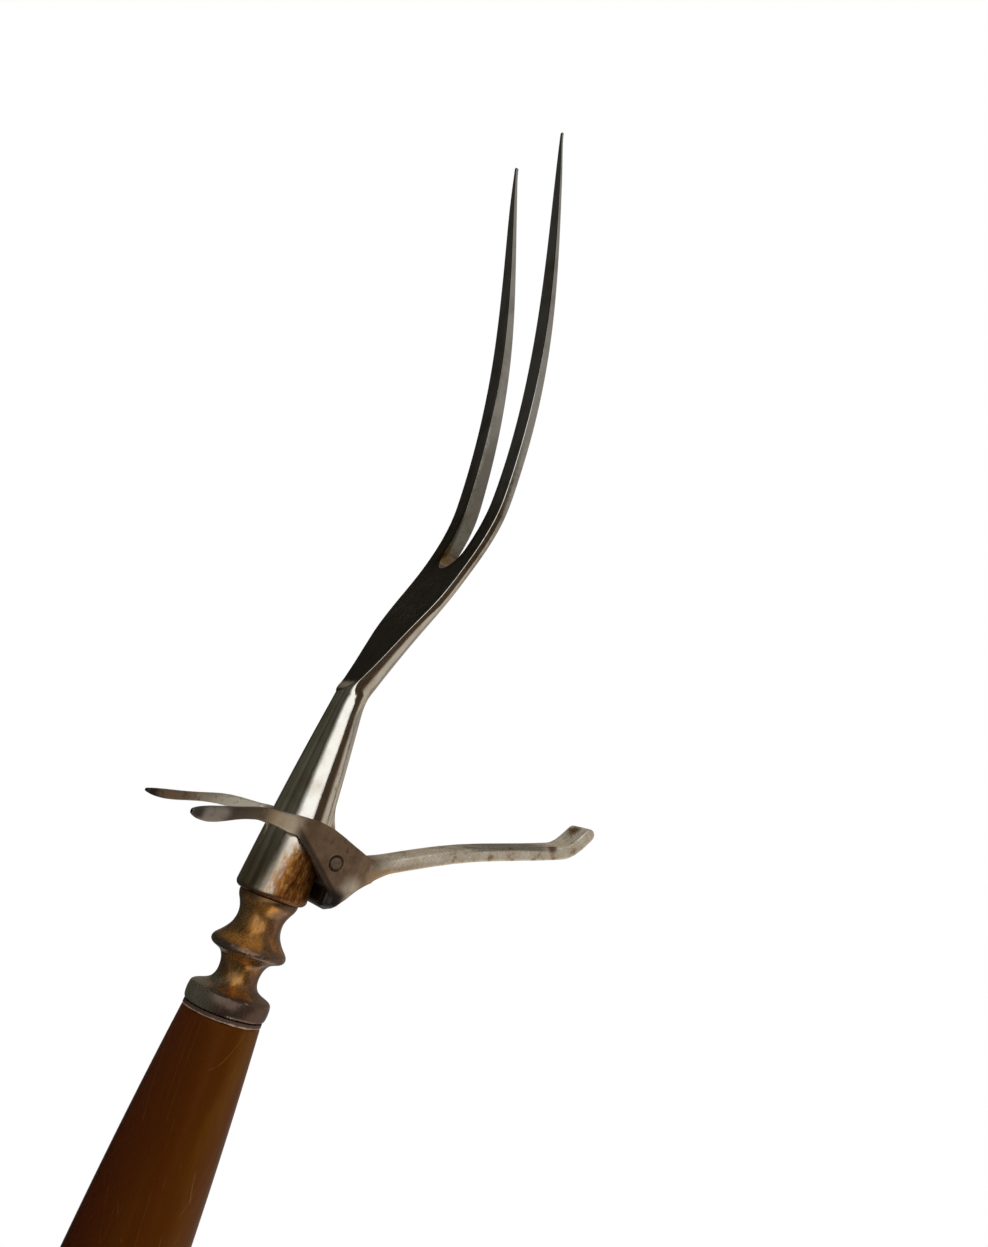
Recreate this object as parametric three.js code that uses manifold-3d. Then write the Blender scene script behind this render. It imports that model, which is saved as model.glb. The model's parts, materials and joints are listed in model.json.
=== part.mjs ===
// A carving fork with a folding guard: two curved tines on a flat neck and a round shank, a turned
// bolster, a handle cemented on the tang, and a forged guard that turns on a rivet behind the shank.
// The guard's two horns stand beside the shank and are the fork's feet, and its leg shields the hand.
// Millimetres. The fork's own frame has X along the axis towards the tines, with 0 at the top of the
// handle, Y across and Z towards the back. The assembly then lies on its horns and its handle.

import * as THREE from 'three';
import { mergeVertices } from 'three/addons/utils/BufferGeometryUtils.js';
import Module from 'manifold-3d';

// Handle
const HANDLE_LENGTH = 104;
const HANDLE_TOP_RADIUS = 6.4;
const HANDLE_SWELL_RADIUS = 10.2;
const HANDLE_SWELL_FROM_BUTT = 26;
const HANDLE_BUTT_RADIUS = 5.5;

// Cement line and the gaps between seated pieces
const CEMENT_LINE = 0.5;
const CEMENT_WALL = 0.7;
const SEAT_GAP = 0.1;

// Tang inside the bolster and the handle
const TANG_RADIUS = 2.4;
const TANG_END_RADIUS = 1.5;
const TANG_IN_HANDLE = 56;

// Turned bolster, from the handle up: collar, cove, bead, cove and cup
const COLLAR_RADIUS = 6.75;
const COLLAR_EDGE_RADIUS = 6.3;
const COLLAR_LENGTH = 2.7;
const COLLAR_TOP_RADIUS = 4.4;
const COLLAR_TOP_RISE = 0.3;
const LOWER_COVE_RADIUS = 3.35;
const LOWER_COVE_LENGTH = 5.6;
const BEAD_RADIUS = 6.2;
const BEAD_EDGE_RADIUS = 4.7;
const BEAD_LENGTH = 2.9;
const UPPER_COVE_RADIUS = 3.75;
const UPPER_COVE_LENGTH = 5.7;
const CUP_EDGE_RADIUS = 4.6;
const CUP_RADIUS = 5.95;
const CUP_LENGTH = 1;

// Shank, neck and tines, with heights measured on the front face
const SHANK_LENGTH = 34.7;
const SHANK_BASE_RADIUS = 6.05;
const SHANK_END_RADIUS = 2.6;
const SHANK_BULGE = 0.22;
const SHANK_BASE_ROUND = 0.6;
const NECK_LENGTH = 27.8;
const NECK_FACET_LENGTH = 3;
const NECK_FACET_RISE = 1;
const NECK_FLARE_LENGTH = 18.8;
const NECK_MID_HALF_WIDTH = 5.95;
const NECK_HALF_WIDTH = 8.65;
const NECK_THICKNESS = 3.1;
const NECK_FRONT_HEIGHT = 7;
const TINE_LENGTH = 82;
const TINE_HALF_SPREAD = 9.4;
const TINE_THICKNESS = 1.9;
const TIP_TAPER_LENGTH = 9;
const TIP_TAPER_HALF_SPREAD = 9;
const TIP_HALF_SPREAD = 8.25;
const TIP_WIDTH = 0.5;
const TIP_THICKNESS = 0.5;
const TIP_HEIGHT = -6.5;
const CREST_HEIGHT = 9.05;
const CREST_FROM_CROTCH = 14.5;
const MID_TINE_HEIGHT = 5;
const MID_TINE_FROM_TIP = 38;
const TINE_SPREAD_FROM_TIP = 34;
const CROTCH_RADIUS = 3.9;
const LOW_TINE_WIDTH = 4.15;
const LOW_TINE_FROM_CROTCH = 20;
const MID_TINE_WIDTH = 3.8;
const FRONT_EDGE_ROUND = 0.3;

// Pivot lug on the back of the shank, and the rivet
const PIVOT_FROM_SHANK_BASE = 8.5;
const RIVET_BEHIND_SHANK = 0.63;
const LUG_RADIUS = 2.8;
const LUG_HALF_WIDTH = 2.4;
const LUG_RAMP = 4.5;
const LUG_SHOULDER = Math.PI / 6;
const RIVET_RADIUS = 0.85;
const RIVET_HEAD_RADIUS = 1.15;
const RIVET_HEAD_DEPTH = 0.7;
const RIVET_PROUD = 0.1;
const RIVET_CLEARANCE = 0.06;

// Guard, in its own frame with 0 at the rivet
const CHEEK_WALL = 0.7;
const CHEEK_FLARE = 0.1;
const CHEEK_BACK = 4.2;
const CHEEK_FRONT = -8;
const CHEEK_TOP = 5.2;
const CHEEK_TOP_HEIGHT = -4.7;
const HEEL_BOTTOM = -7.5;
const HEEL_LENGTH = 2.4;
const HEEL_THICKNESS = 2.7;
const HEEL_HALF_WIDTH = 4.8;
const HEEL_ROUND = 1;
const HEEL_STOP_GAP = 0.15;
const WEB_HOLLOW = 1.3;
const LEG_ROOT_HEIGHT = 8.9;
const LEG_ROOT_RISE = 0.7;
const LEG_ROOT_HALF_DEPTH = 1.9;
const LEG_HALF_WIDTH = 3;
const LEG_HALF_THICKNESS = 1.2;
const LEG_REACH = 40.6;
const LEG_RISE = 14.4;
const LEG_BOW = 0.95;
const CURL_REACH = 7.5;
const CURL_RISE = 6.1;
const CURL_BOW = -1.25;
const HORN_REACH = 28.1;
const HORN_HALF_SPREAD = 15.9;
const HORN_THICKNESS = 2.3;
const HORN_ROOT_RISE = 3.4;
const HORN_ROOT_HALF_HEIGHT = 1.45;
const HORN_DROP = 3.2;
const HORN_STRAIGHT_LENGTH = 4.8;
const HORN_WAIST_HALF_HEIGHT = 0.85;
const HORN_WAIST_FROM_END = 9.3;
const HORN_PAD_HALF_HEIGHT = 1.1;
const HORN_PAD_FROM_END = 2.6;
const HORN_END_HALF_HEIGHT = 0.55;
const FOOT_FLAT = 0.35;
const FOLD_ANGLE = 62;
const SWING_CLEARANCE = 0.25;
const SWING_MARGIN = 10;

// How finely round shapes are divided
const ROUND_SIDES = 32;
const HEAD_SIDES = 28;
const HEAD_STATIONS = 52;
const CURVE_STEPS = 6;
const SWING_STEPS = 8;

// Places along the axis, worked out from the lengths above
const BOLSTER_BASE = CEMENT_LINE + 2 * SEAT_GAP;
const COLLAR_TOP = COLLAR_LENGTH;
const LOWER_COVE_BASE = COLLAR_TOP + COLLAR_TOP_RISE;
const BEAD_BASE = LOWER_COVE_BASE + LOWER_COVE_LENGTH;
const BEAD_TOP = BEAD_BASE + BEAD_LENGTH;
const CUP_BASE = BEAD_TOP + UPPER_COVE_LENGTH;
const BOLSTER_LENGTH = CUP_BASE + CUP_LENGTH;
const SHANK_BASE = BOLSTER_BASE + BOLSTER_LENGTH + SEAT_GAP;
const SHANK_END = SHANK_BASE + SHANK_LENGTH;
const CROTCH = SHANK_END + NECK_LENGTH;
const TIP = CROTCH + TINE_LENGTH;
const PIVOT = SHANK_BASE + PIVOT_FROM_SHANK_BASE;
const PIVOT_HEIGHT = shankRadius(PIVOT) + RIVET_BEHIND_SHANK;
const CHEEK_HALF_WIDTH = shankRadius(PIVOT) + SWING_CLEARANCE + CHEEK_WALL;
const MID_TINE = TIP - TINE_SPREAD_FROM_TIP;
const LOW_TINE = CROTCH + LOW_TINE_FROM_CROTCH;

const wasm = await Module();
wasm.setup();

// A closed three.js geometry as a solid for joining and cutting.
function solid(geometry) {
  const bare = geometry.index ? geometry.clone() : geometry;
  bare.deleteAttribute('normal');
  bare.deleteAttribute('uv');
  const merged = mergeVertices(bare, 1e-4);
  return new wasm.Manifold(new wasm.Mesh({
    numProp: 3,
    vertProperties: Float32Array.from(merged.attributes.position.array),
    triVerts: Uint32Array.from(merged.index.array),
  }));
}

// A solid back as a three.js geometry.
function geometryOf(body) {
  const mesh = body.getMesh();
  const geometry = new THREE.BufferGeometry();
  geometry.setAttribute('position', new THREE.BufferAttribute(mesh.vertProperties, 3));
  geometry.setIndex(new THREE.BufferAttribute(mesh.triVerts, 1));
  geometry.computeVertexNormals();
  return geometry;
}

// A smooth curve through chosen points [place, value], in order of place.
function smoothCurve(points) {
  const slope = (i) => {
    const before = points[Math.max(i - 1, 0)];
    const after = points[Math.min(i + 1, points.length - 1)];
    return (after[1] - before[1]) / (after[0] - before[0]);
  };
  return (place) => {
    let i = 0;
    while (i < points.length - 2 && place > points[i + 1][0]) i += 1;
    const [x0, y0] = points[i];
    const [x1, y1] = points[i + 1];
    const span = x1 - x0;
    const t = THREE.MathUtils.clamp((place - x0) / span, 0, 1);
    const rise = y1 - y0;
    const start = slope(i) * span - rise;
    const end = rise - slope(i + 1) * span;
    return y0 + rise * t + t * (1 - t) * (start * (1 - t) + end * t);
  };
}

// A closed skin over rings of points, each ring with as many points as the next.
function loft(rings) {
  const sides = rings[0].length;
  const points = rings.flat();
  const faces = [];
  const ring = (station, side) => station * sides + (side % sides);
  for (let station = 0; station < rings.length - 1; station += 1) {
    for (let side = 0; side < sides; side += 1) {
      const [a, b] = [ring(station, side), ring(station, side + 1)];
      const [c, d] = [ring(station + 1, side), ring(station + 1, side + 1)];
      faces.push(a, b, c, b, d, c);
    }
  }
  const middle = (list) => list.reduce((sum, p) => sum.add(p), new THREE.Vector3()).divideScalar(sides);
  const first = points.push(middle(rings[0])) - 1;
  const last = points.push(middle(rings.at(-1))) - 1;
  for (let side = 0; side < sides; side += 1) {
    faces.push(first, ring(0, side + 1), ring(0, side));
    faces.push(last, ring(rings.length - 1, side), ring(rings.length - 1, side + 1));
  }
  const geometry = new THREE.BufferGeometry().setFromPoints(points);
  geometry.setIndex(faces);
  return geometry;
}

// A turned piece on the X axis from an outline of (radius, place) points.
function turned(outline) {
  return new THREE.LatheGeometry(outline, ROUND_SIDES).rotateZ(-Math.PI / 2);
}

// A plate of an outline drawn in (x, z), as thick as asked to both sides of the middle plane.
function sidePlate(shape, halfWidth) {
  const plate = new THREE.ExtrudeGeometry(shape, {
    depth: 2 * halfWidth, bevelEnabled: false, curveSegments: CURVE_STEPS,
  });
  return solid(plate.translate(0, 0, -halfWidth).rotateX(Math.PI / 2));
}

// A block of an outline drawn in (z, y), as long as asked to both sides of the rivet.
function planBlock(shape, halfLength) {
  const block = new THREE.ExtrudeGeometry(shape, {
    depth: 2 * halfLength, bevelEnabled: false, curveSegments: CURVE_STEPS,
  });
  return solid(block.translate(0, 0, -halfLength).rotateY(-Math.PI / 2));
}

// A round rod across the fork at the rivet, from an outline of (radius, place across) points.
function acrossRod(outline) {
  return new THREE.LatheGeometry(outline, ROUND_SIDES);
}

const pointList = (pairs) => pairs.map(([x, y]) => new THREE.Vector2(x, y));

// The next stretch of an outline, bulging or hollow, with the radius it has halfway.
function swellTo(path, radius, place, halfwayRadius) {
  const start = path.currentPoint;
  const control = (8 * halfwayRadius - start.x - radius) / 6;
  path.bezierCurveTo(control, start.y, control, place, radius, place);
}

// Shank radius at a place on the axis.
function shankRadius(x) {
  const t = THREE.MathUtils.clamp((x - SHANK_BASE) / SHANK_LENGTH, 0, 1);
  const straight = THREE.MathUtils.lerp(SHANK_BASE_RADIUS, SHANK_END_RADIUS, t);
  const short = THREE.MathUtils.clamp(1 - (x - SHANK_BASE) / SHANK_BASE_ROUND, 0, 1);
  const rounding = SHANK_BASE_ROUND * (1 - Math.sqrt(1 - short ** 2));
  return straight + 4 * SHANK_BULGE * t * (1 - t) - rounding;
}

// The nearest place at which the shank has its full girth.
const onShank = (x) => THREE.MathUtils.clamp(x, SHANK_BASE + SHANK_BASE_ROUND, SHANK_END);

// Tang radius at a place on the axis.
function tangRadius(x) {
  const t = THREE.MathUtils.clamp(-x / TANG_IN_HANDLE, 0, 1);
  return THREE.MathUtils.lerp(TANG_RADIUS, TANG_END_RADIUS, t);
}

const headFront = smoothCurve([
  [SHANK_END, -SHANK_END_RADIUS],
  [SHANK_END + NECK_FACET_LENGTH, NECK_FACET_RISE - SHANK_END_RADIUS],
  [CROTCH, NECK_FRONT_HEIGHT],
  [CROTCH + CREST_FROM_CROTCH, CREST_HEIGHT],
  [TIP - MID_TINE_FROM_TIP, MID_TINE_HEIGHT],
  [TIP, TIP_HEIGHT],
]);

const headHalfWidth = smoothCurve([
  [SHANK_END, SHANK_END_RADIUS],
  [SHANK_END + NECK_FLARE_LENGTH / 2, NECK_MID_HALF_WIDTH],
  [SHANK_END + NECK_FLARE_LENGTH, NECK_HALF_WIDTH],
  [CROTCH, NECK_HALF_WIDTH],
  [MID_TINE, TINE_HALF_SPREAD],
  [TIP - TIP_TAPER_LENGTH, TIP_TAPER_HALF_SPREAD],
  [TIP, TIP_HALF_SPREAD],
]);

const headThickness = smoothCurve([
  [SHANK_END, 2 * SHANK_END_RADIUS],
  [SHANK_END + NECK_FLARE_LENGTH, NECK_THICKNESS],
  [CROTCH + CREST_FROM_CROTCH, NECK_THICKNESS],
  [MID_TINE, TINE_THICKNESS],
  [TIP, TIP_THICKNESS],
]);

const halfGap = smoothCurve([
  [CROTCH + CROTCH_RADIUS, CROTCH_RADIUS],
  [LOW_TINE, headHalfWidth(LOW_TINE) - LOW_TINE_WIDTH],
  [MID_TINE, TINE_HALF_SPREAD - MID_TINE_WIDTH],
  [TIP, TIP_HALF_SPREAD - TIP_WIDTH],
]);

// One cross-section of the fork's head: round on the shank, flat in front and domed behind on the neck.
function headSection(x) {
  const flatness = THREE.MathUtils.smoothstep(x, SHANK_END, SHANK_END + NECK_FLARE_LENGTH / 2);
  const round = x <= SHANK_END;
  const halfWidth = round ? shankRadius(x) : headHalfWidth(x);
  const thickness = round ? 2 * shankRadius(x) : headThickness(x);
  const lowest = round ? -shankRadius(x) : headFront(x);
  const frontDepth = THREE.MathUtils.lerp(thickness / 2, Math.min(FRONT_EDGE_ROUND, thickness / 2), flatness);
  const squareness = THREE.MathUtils.lerp(2, 3, flatness);
  const ring = [];
  for (let side = 0; side < HEAD_SIDES; side += 1) {
    const angle = (2 * Math.PI * side) / HEAD_SIDES;
    const [across, up] = [Math.cos(angle), Math.sin(angle)];
    const depth = up > 0 ? thickness - frontDepth : frontDepth;
    const power = 2 / squareness;
    const y = halfWidth * Math.sign(across) * Math.abs(across) ** power;
    const z = lowest + frontDepth + depth * Math.sign(up) * Math.abs(up) ** power;
    ring.push(new THREE.Vector3(x, y, z));
  }
  return ring;
}

function headBlank() {
  const rings = [headSection(SHANK_BASE), headSection(SHANK_BASE + SHANK_BASE_ROUND / 4)];
  for (let station = 0; station <= HEAD_STATIONS; station += 1) {
    const x = THREE.MathUtils.lerp(SHANK_BASE + SHANK_BASE_ROUND, TIP, station / HEAD_STATIONS);
    rings.push(headSection(x));
  }
  return solid(loft(rings));
}

// The space between the tines, round at the crotch and open past the tips.
function tineGap() {
  const shape = new THREE.Shape();
  const roundCentre = CROTCH + CROTCH_RADIUS;
  const edge = [];
  for (let step = 0; step <= 2 * CURVE_STEPS; step += 1) {
    const x = THREE.MathUtils.lerp(roundCentre, TIP, step / (2 * CURVE_STEPS));
    edge.push([x, halfGap(x)]);
  }
  edge.push([TIP + CROTCH_RADIUS, halfGap(TIP)]);
  shape.absarc(roundCentre, 0, CROTCH_RADIUS, -Math.PI / 2, Math.PI / 2, true);
  edge.forEach(([x, y]) => shape.lineTo(x, y));
  edge.reverse().forEach(([x, y]) => shape.lineTo(x, -y));
  const height = TINE_LENGTH;
  const block = new THREE.ExtrudeGeometry(shape, {
    depth: height, bevelEnabled: false, curveSegments: 2 * CURVE_STEPS,
  });
  return solid(block.translate(0, 0, -height / 2));
}

// Height from the rivet at which the edges of the lug's ramp run out on the round of the shank.
function lugRoot() {
  const radius = shankRadius(PIVOT + LUG_RADIUS + LUG_RAMP);
  return Math.sqrt(Math.max(radius ** 2 - LUG_HALF_WIDTH ** 2, 0)) - PIVOT_HEIGHT;
}

// The lug round the rivet, with a ramp down to the shank on the tines' side.
function pivotLug() {
  const shape = new THREE.Shape();
  shape.moveTo(-LUG_RADIUS, -PIVOT_HEIGHT);
  shape.lineTo(-LUG_RADIUS, 0);
  shape.absarc(0, 0, LUG_RADIUS, Math.PI, LUG_SHOULDER, true);
  shape.lineTo(LUG_RADIUS + LUG_RAMP, lugRoot());
  shape.lineTo(LUG_RADIUS + LUG_RAMP, -PIVOT_HEIGHT);
  return sidePlate(shape, LUG_HALF_WIDTH);
}

function makeTang() {
  const outline = pointList([
    [0, -TANG_IN_HANDLE],
    [TANG_END_RADIUS, -TANG_IN_HANDLE],
    [TANG_RADIUS, 0],
    [TANG_RADIUS, SHANK_BASE + CUP_LENGTH],
    [0, SHANK_BASE + CUP_LENGTH],
  ]);
  return solid(turned(outline));
}

// Rivet outline from end to end, grown by a clearance for its holes.
function rivetOutline(clearance, reach) {
  const neck = RIVET_RADIUS + clearance;
  const head = RIVET_HEAD_RADIUS + clearance;
  const headBase = CHEEK_HALF_WIDTH - RIVET_HEAD_DEPTH;
  return pointList([
    [0, -reach], [head, -reach], [head, -CHEEK_HALF_WIDTH], [neck, -headBase],
    [neck, headBase], [head, CHEEK_HALF_WIDTH], [head, reach], [0, reach],
  ]);
}

function makeForkHead() {
  const rivetBore = solid(acrossRod(rivetOutline(RIVET_CLEARANCE, 2 * CHEEK_HALF_WIDTH)));
  return headBlank()
    .add(makeTang())
    .add(pivotLug().translate(PIVOT, 0, PIVOT_HEIGHT))
    .subtract(tineGap())
    .subtract(rivetBore.translate(PIVOT, 0, PIVOT_HEIGHT));
}

function makeBolster() {
  const bore = TANG_RADIUS + SEAT_GAP;
  const path = new THREE.Path();
  path.moveTo(bore, 0);
  path.lineTo(COLLAR_EDGE_RADIUS, 0);
  swellTo(path, COLLAR_EDGE_RADIUS, COLLAR_TOP, COLLAR_RADIUS);
  path.lineTo(COLLAR_TOP_RADIUS, LOWER_COVE_BASE);
  swellTo(path, BEAD_EDGE_RADIUS, BEAD_BASE, LOWER_COVE_RADIUS);
  swellTo(path, BEAD_EDGE_RADIUS, BEAD_TOP, BEAD_RADIUS);
  swellTo(path, CUP_EDGE_RADIUS, CUP_BASE, UPPER_COVE_RADIUS);
  path.lineTo(CUP_RADIUS, BOLSTER_LENGTH);
  path.lineTo(bore, BOLSTER_LENGTH);
  path.lineTo(bore, 0);
  return turned(path.getPoints(CURVE_STEPS)).translate(BOLSTER_BASE, 0, 0);
}

// The handle's outer outline from the joint to the butt, as (radius, place) points.
function handleOutline() {
  const butt = -HANDLE_LENGTH;
  const swell = butt + HANDLE_SWELL_FROM_BUTT;
  const path = new THREE.Path();
  path.moveTo(HANDLE_TOP_RADIUS, 0);
  path.bezierCurveTo(
    THREE.MathUtils.lerp(HANDLE_TOP_RADIUS, HANDLE_SWELL_RADIUS, 2 / 3), swell / 3,
    HANDLE_SWELL_RADIUS, swell * 2 / 3,
    HANDLE_SWELL_RADIUS, swell,
  );
  path.bezierCurveTo(
    HANDLE_SWELL_RADIUS, (swell + butt) / 2,
    HANDLE_SWELL_RADIUS, butt,
    HANDLE_BUTT_RADIUS, butt,
  );
  return path.getPoints(2 * CURVE_STEPS);
}

const cementRadius = (x) => tangRadius(x) + SEAT_GAP + CEMENT_WALL;

function makeHandle() {
  const boreEnd = -TANG_IN_HANDLE - CEMENT_WALL - 2 * SEAT_GAP;
  const outline = [
    ...handleOutline(),
    ...pointList([
      [0, -HANDLE_LENGTH],
      [0, boreEnd],
      [cementRadius(-TANG_IN_HANDLE) + SEAT_GAP, boreEnd],
      [cementRadius(0) + SEAT_GAP, 0],
      [HANDLE_TOP_RADIUS, 0],
    ]),
  ];
  return turned(outline.reverse());
}

// Cement round the tang, with the thin line that shows between the handle and the collar.
function makeCement() {
  const bottom = -TANG_IN_HANDLE - SEAT_GAP;
  const outline = pointList([
    [0, bottom - CEMENT_WALL],
    [cementRadius(-TANG_IN_HANDLE), bottom - CEMENT_WALL],
    [cementRadius(0), SEAT_GAP],
    [HANDLE_TOP_RADIUS, SEAT_GAP],
    [HANDLE_TOP_RADIUS, SEAT_GAP + CEMENT_LINE],
    [TANG_RADIUS + SEAT_GAP, SEAT_GAP + CEMENT_LINE],
    [TANG_RADIUS + SEAT_GAP, 0],
    [TANG_END_RADIUS + SEAT_GAP, bottom],
    [0, bottom],
  ]);
  return turned(outline);
}

function makeRivet() {
  return acrossRod(rivetOutline(0, CHEEK_HALF_WIDTH + RIVET_PROUD));
}

// Height from the rivet of the heel's underside, on the widest of what lies below it.
function heelStop() {
  const widest = Math.max(shankRadius(onShank(PIVOT + HEEL_BOTTOM)), CUP_RADIUS);
  return widest - PIVOT_HEIGHT + HEEL_STOP_GAP;
}

// Side view of the guard's cheeks, from the horns' roots to the root of the leg.
function cheekOutline() {
  const hornRoot = CHEEK_FRONT - HORN_THICKNESS;
  const hornLow = HORN_ROOT_RISE - HORN_ROOT_HALF_HEIGHT;
  const heelBack = heelStop() + HEEL_THICKNESS;
  const heelMiddle = heelStop() + HEEL_THICKNESS / 2;
  const legLow = LEG_ROOT_RISE - LEG_ROOT_HALF_DEPTH;
  const shape = new THREE.Shape();
  shape.moveTo(hornLow, hornRoot);
  shape.lineTo(hornLow, CHEEK_FRONT);
  shape.lineTo(HEEL_BOTTOM + HEEL_LENGTH, heelMiddle);
  shape.lineTo(HEEL_BOTTOM + HEEL_ROUND, heelMiddle);
  shape.lineTo(HEEL_BOTTOM + HEEL_ROUND, heelBack);
  shape.quadraticCurveTo(
    (HEEL_BOTTOM + HEEL_ROUND + legLow) / 2 + WEB_HOLLOW, (heelBack + LEG_ROOT_HEIGHT) / 2,
    legLow, LEG_ROOT_HEIGHT,
  );
  shape.lineTo(LEG_ROOT_RISE + LEG_ROOT_HALF_DEPTH, LEG_ROOT_HEIGHT);
  shape.bezierCurveTo(
    LEG_ROOT_RISE + LEG_HALF_THICKNESS, LEG_ROOT_HEIGHT - CHEEK_BACK,
    CHEEK_TOP, CHEEK_TOP_HEIGHT + CHEEK_BACK,
    CHEEK_TOP, CHEEK_TOP_HEIGHT,
  );
  shape.quadraticCurveTo(CHEEK_TOP, CHEEK_FRONT, HORN_ROOT_RISE + HORN_ROOT_HALF_HEIGHT, hornRoot);
  return shape;
}

// Side view of the heel, which stops the guard against the back of the shank.
function heelOutline() {
  const stop = heelStop();
  const back = stop + HEEL_THICKNESS;
  const root = HEEL_BOTTOM + 2 * HEEL_LENGTH;
  const shape = new THREE.Shape();
  shape.moveTo(HEEL_BOTTOM + HEEL_ROUND, stop);
  shape.lineTo(root, stop);
  shape.lineTo(root, back + HEEL_ROUND);
  shape.lineTo(HEEL_BOTTOM + HEEL_ROUND, back);
  shape.quadraticCurveTo(HEEL_BOTTOM - HEEL_ROUND, (stop + back) / 2, HEEL_BOTTOM + HEEL_ROUND, stop);
  return shape;
}

// The point halfway between two others, moved square to their line.
function bowed(start, end, bow) {
  const along = end.clone().sub(start).normalize();
  return start.clone().lerp(end, 0.5).add(new THREE.Vector2(along.y, -along.x).multiplyScalar(bow));
}

// Side view of the leg, an even strip along a slightly bowed line with a curl at its end.
function legOutline() {
  const root = new THREE.Vector2(LEG_ROOT_RISE, LEG_ROOT_HEIGHT - LEG_HALF_THICKNESS);
  const end = new THREE.Vector2(LEG_RISE, LEG_REACH);
  const tip = new THREE.Vector2(LEG_RISE + CURL_RISE, LEG_REACH + CURL_REACH);
  const line = new THREE.SplineCurve([
    root, bowed(root, end, LEG_BOW), end, bowed(end, tip, CURL_BOW), tip,
  ]);
  const steps = 3 * CURVE_STEPS;
  const edge = (side) => Array.from({ length: steps + 1 }, (_, step) => {
    const along = line.getTangent(step / steps);
    const normal = new THREE.Vector2(along.y, -along.x);
    return line.getPoint(step / steps).addScaledVector(normal, side * LEG_HALF_THICKNESS);
  });
  const heading = line.getTangent(1).angle();
  const round = Array.from({ length: CURVE_STEPS - 1 }, (_, step) => {
    const angle = heading - Math.PI / 2 + (Math.PI * (step + 1)) / CURVE_STEPS;
    return new THREE.Vector2(LEG_HALF_THICKNESS, 0).rotateAround(new THREE.Vector2(), angle).add(tip);
  });
  return new THREE.Shape([...edge(1), ...round, ...edge(-1).reverse()]);
}

// Side view of a horn, with a waist and a spoon-shaped pad that lies lower than its root.
function hornOutline() {
  const root = CHEEK_FRONT - HORN_THICKNESS / 2;
  const halfHeight = smoothCurve([
    [-HORN_REACH, HORN_END_HALF_HEIGHT],
    [HORN_PAD_FROM_END - HORN_REACH, HORN_PAD_HALF_HEIGHT],
    [HORN_WAIST_FROM_END - HORN_REACH, HORN_WAIST_HALF_HEIGHT],
    [root, HORN_ROOT_HALF_HEIGHT],
  ]);
  const steps = 2 * CURVE_STEPS;
  const edge = (side) => Array.from({ length: steps + 1 }, (_, step) => {
    const z = THREE.MathUtils.lerp(root, -HORN_REACH, step / steps);
    const drop = THREE.MathUtils.smoothstep(-z, HORN_STRAIGHT_LENGTH - root, HORN_REACH);
    return new THREE.Vector2(HORN_ROOT_RISE - HORN_DROP * drop + side * halfHeight(z), z);
  });
  return new THREE.Shape([...edge(1), ...edge(-1).reverse()]);
}

// Plan of the guard: the leg's strip, the bevelled yoke, and the two horns spreading from it.
function guardPlan() {
  const legEnd = LEG_REACH + CURL_REACH + LEG_HALF_WIDTH;
  const cheekFrontHalf = CHEEK_HALF_WIDTH - CHEEK_FLARE * CHEEK_FRONT;
  const half = [
    [legEnd, LEG_HALF_WIDTH],
    [LEG_ROOT_HEIGHT, LEG_HALF_WIDTH],
    [CHEEK_BACK, CHEEK_HALF_WIDTH - CHEEK_FLARE * CHEEK_BACK],
    [CHEEK_FRONT, cheekFrontHalf],
    [-HORN_REACH, HORN_HALF_SPREAD],
    [-HORN_REACH, HORN_HALF_SPREAD - HORN_THICKNESS],
    [CHEEK_FRONT, cheekFrontHalf - HORN_THICKNESS],
  ];
  const mirrored = half.map(([z, y]) => [z, -y]).reverse();
  return new THREE.Shape(pointList([...half, ...mirrored]));
}

// Where the table meets the fork: the tilt at which the horns' feet and the handle both touch it.
function restTilt(foot) {
  const tilts = handleOutline().map((p) => Math.atan2(-foot.z - p.x, foot.x - p.y));
  return Math.min(...tilts);
}

const footPoint = new THREE.Vector3(
  PIVOT + HORN_ROOT_RISE - HORN_DROP, 0, PIVOT_HEIGHT - HORN_REACH + FOOT_FLAT,
);
const TILT = restTilt(footPoint);

// Everything under the table, in the guard's frame, which cuts the feet flat.
function underTable() {
  const size = 4 * HORN_REACH;
  const block = solid(new THREE.BoxGeometry(size, size, size));
  const degrees = THREE.MathUtils.radToDeg(TILT);
  return block.translate(0, 0, -size / 2).rotate([0, degrees, 0])
    .translate(footPoint.x - PIVOT, 0, footPoint.z - PIVOT_HEIGHT);
}

// A turn about the rivet, in degrees from the front towards the tines, of a point (x, z).
function turnedPoint(x, z, degrees) {
  return new THREE.Vector2(x, z).rotateAround(new THREE.Vector2(), THREE.MathUtils.degToRad(degrees));
}

// The slot between the cheeks, which the lug sweeps through as the guard folds.
function lugSlot() {
  const radius = LUG_RADIUS + SWING_CLEARANCE;
  const front = -2 * PIVOT_HEIGHT;
  const past = 2 * CHEEK_TOP;
  const rampEnd = turnedPoint(LUG_RADIUS + LUG_RAMP, lugRoot() + 2 * SWING_CLEARANCE, FOLD_ANGLE);
  const shape = new THREE.Shape();
  shape.moveTo(-radius, front);
  shape.lineTo(-radius, 0);
  shape.absarc(0, 0, radius, Math.PI, LUG_SHOULDER + THREE.MathUtils.degToRad(FOLD_ANGLE), true);
  shape.lineTo(rampEnd.x, rampEnd.y);
  shape.lineTo(past, rampEnd.y);
  shape.lineTo(past, front);
  return sidePlate(shape, LUG_HALF_WIDTH + SWING_CLEARANCE);
}

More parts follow.
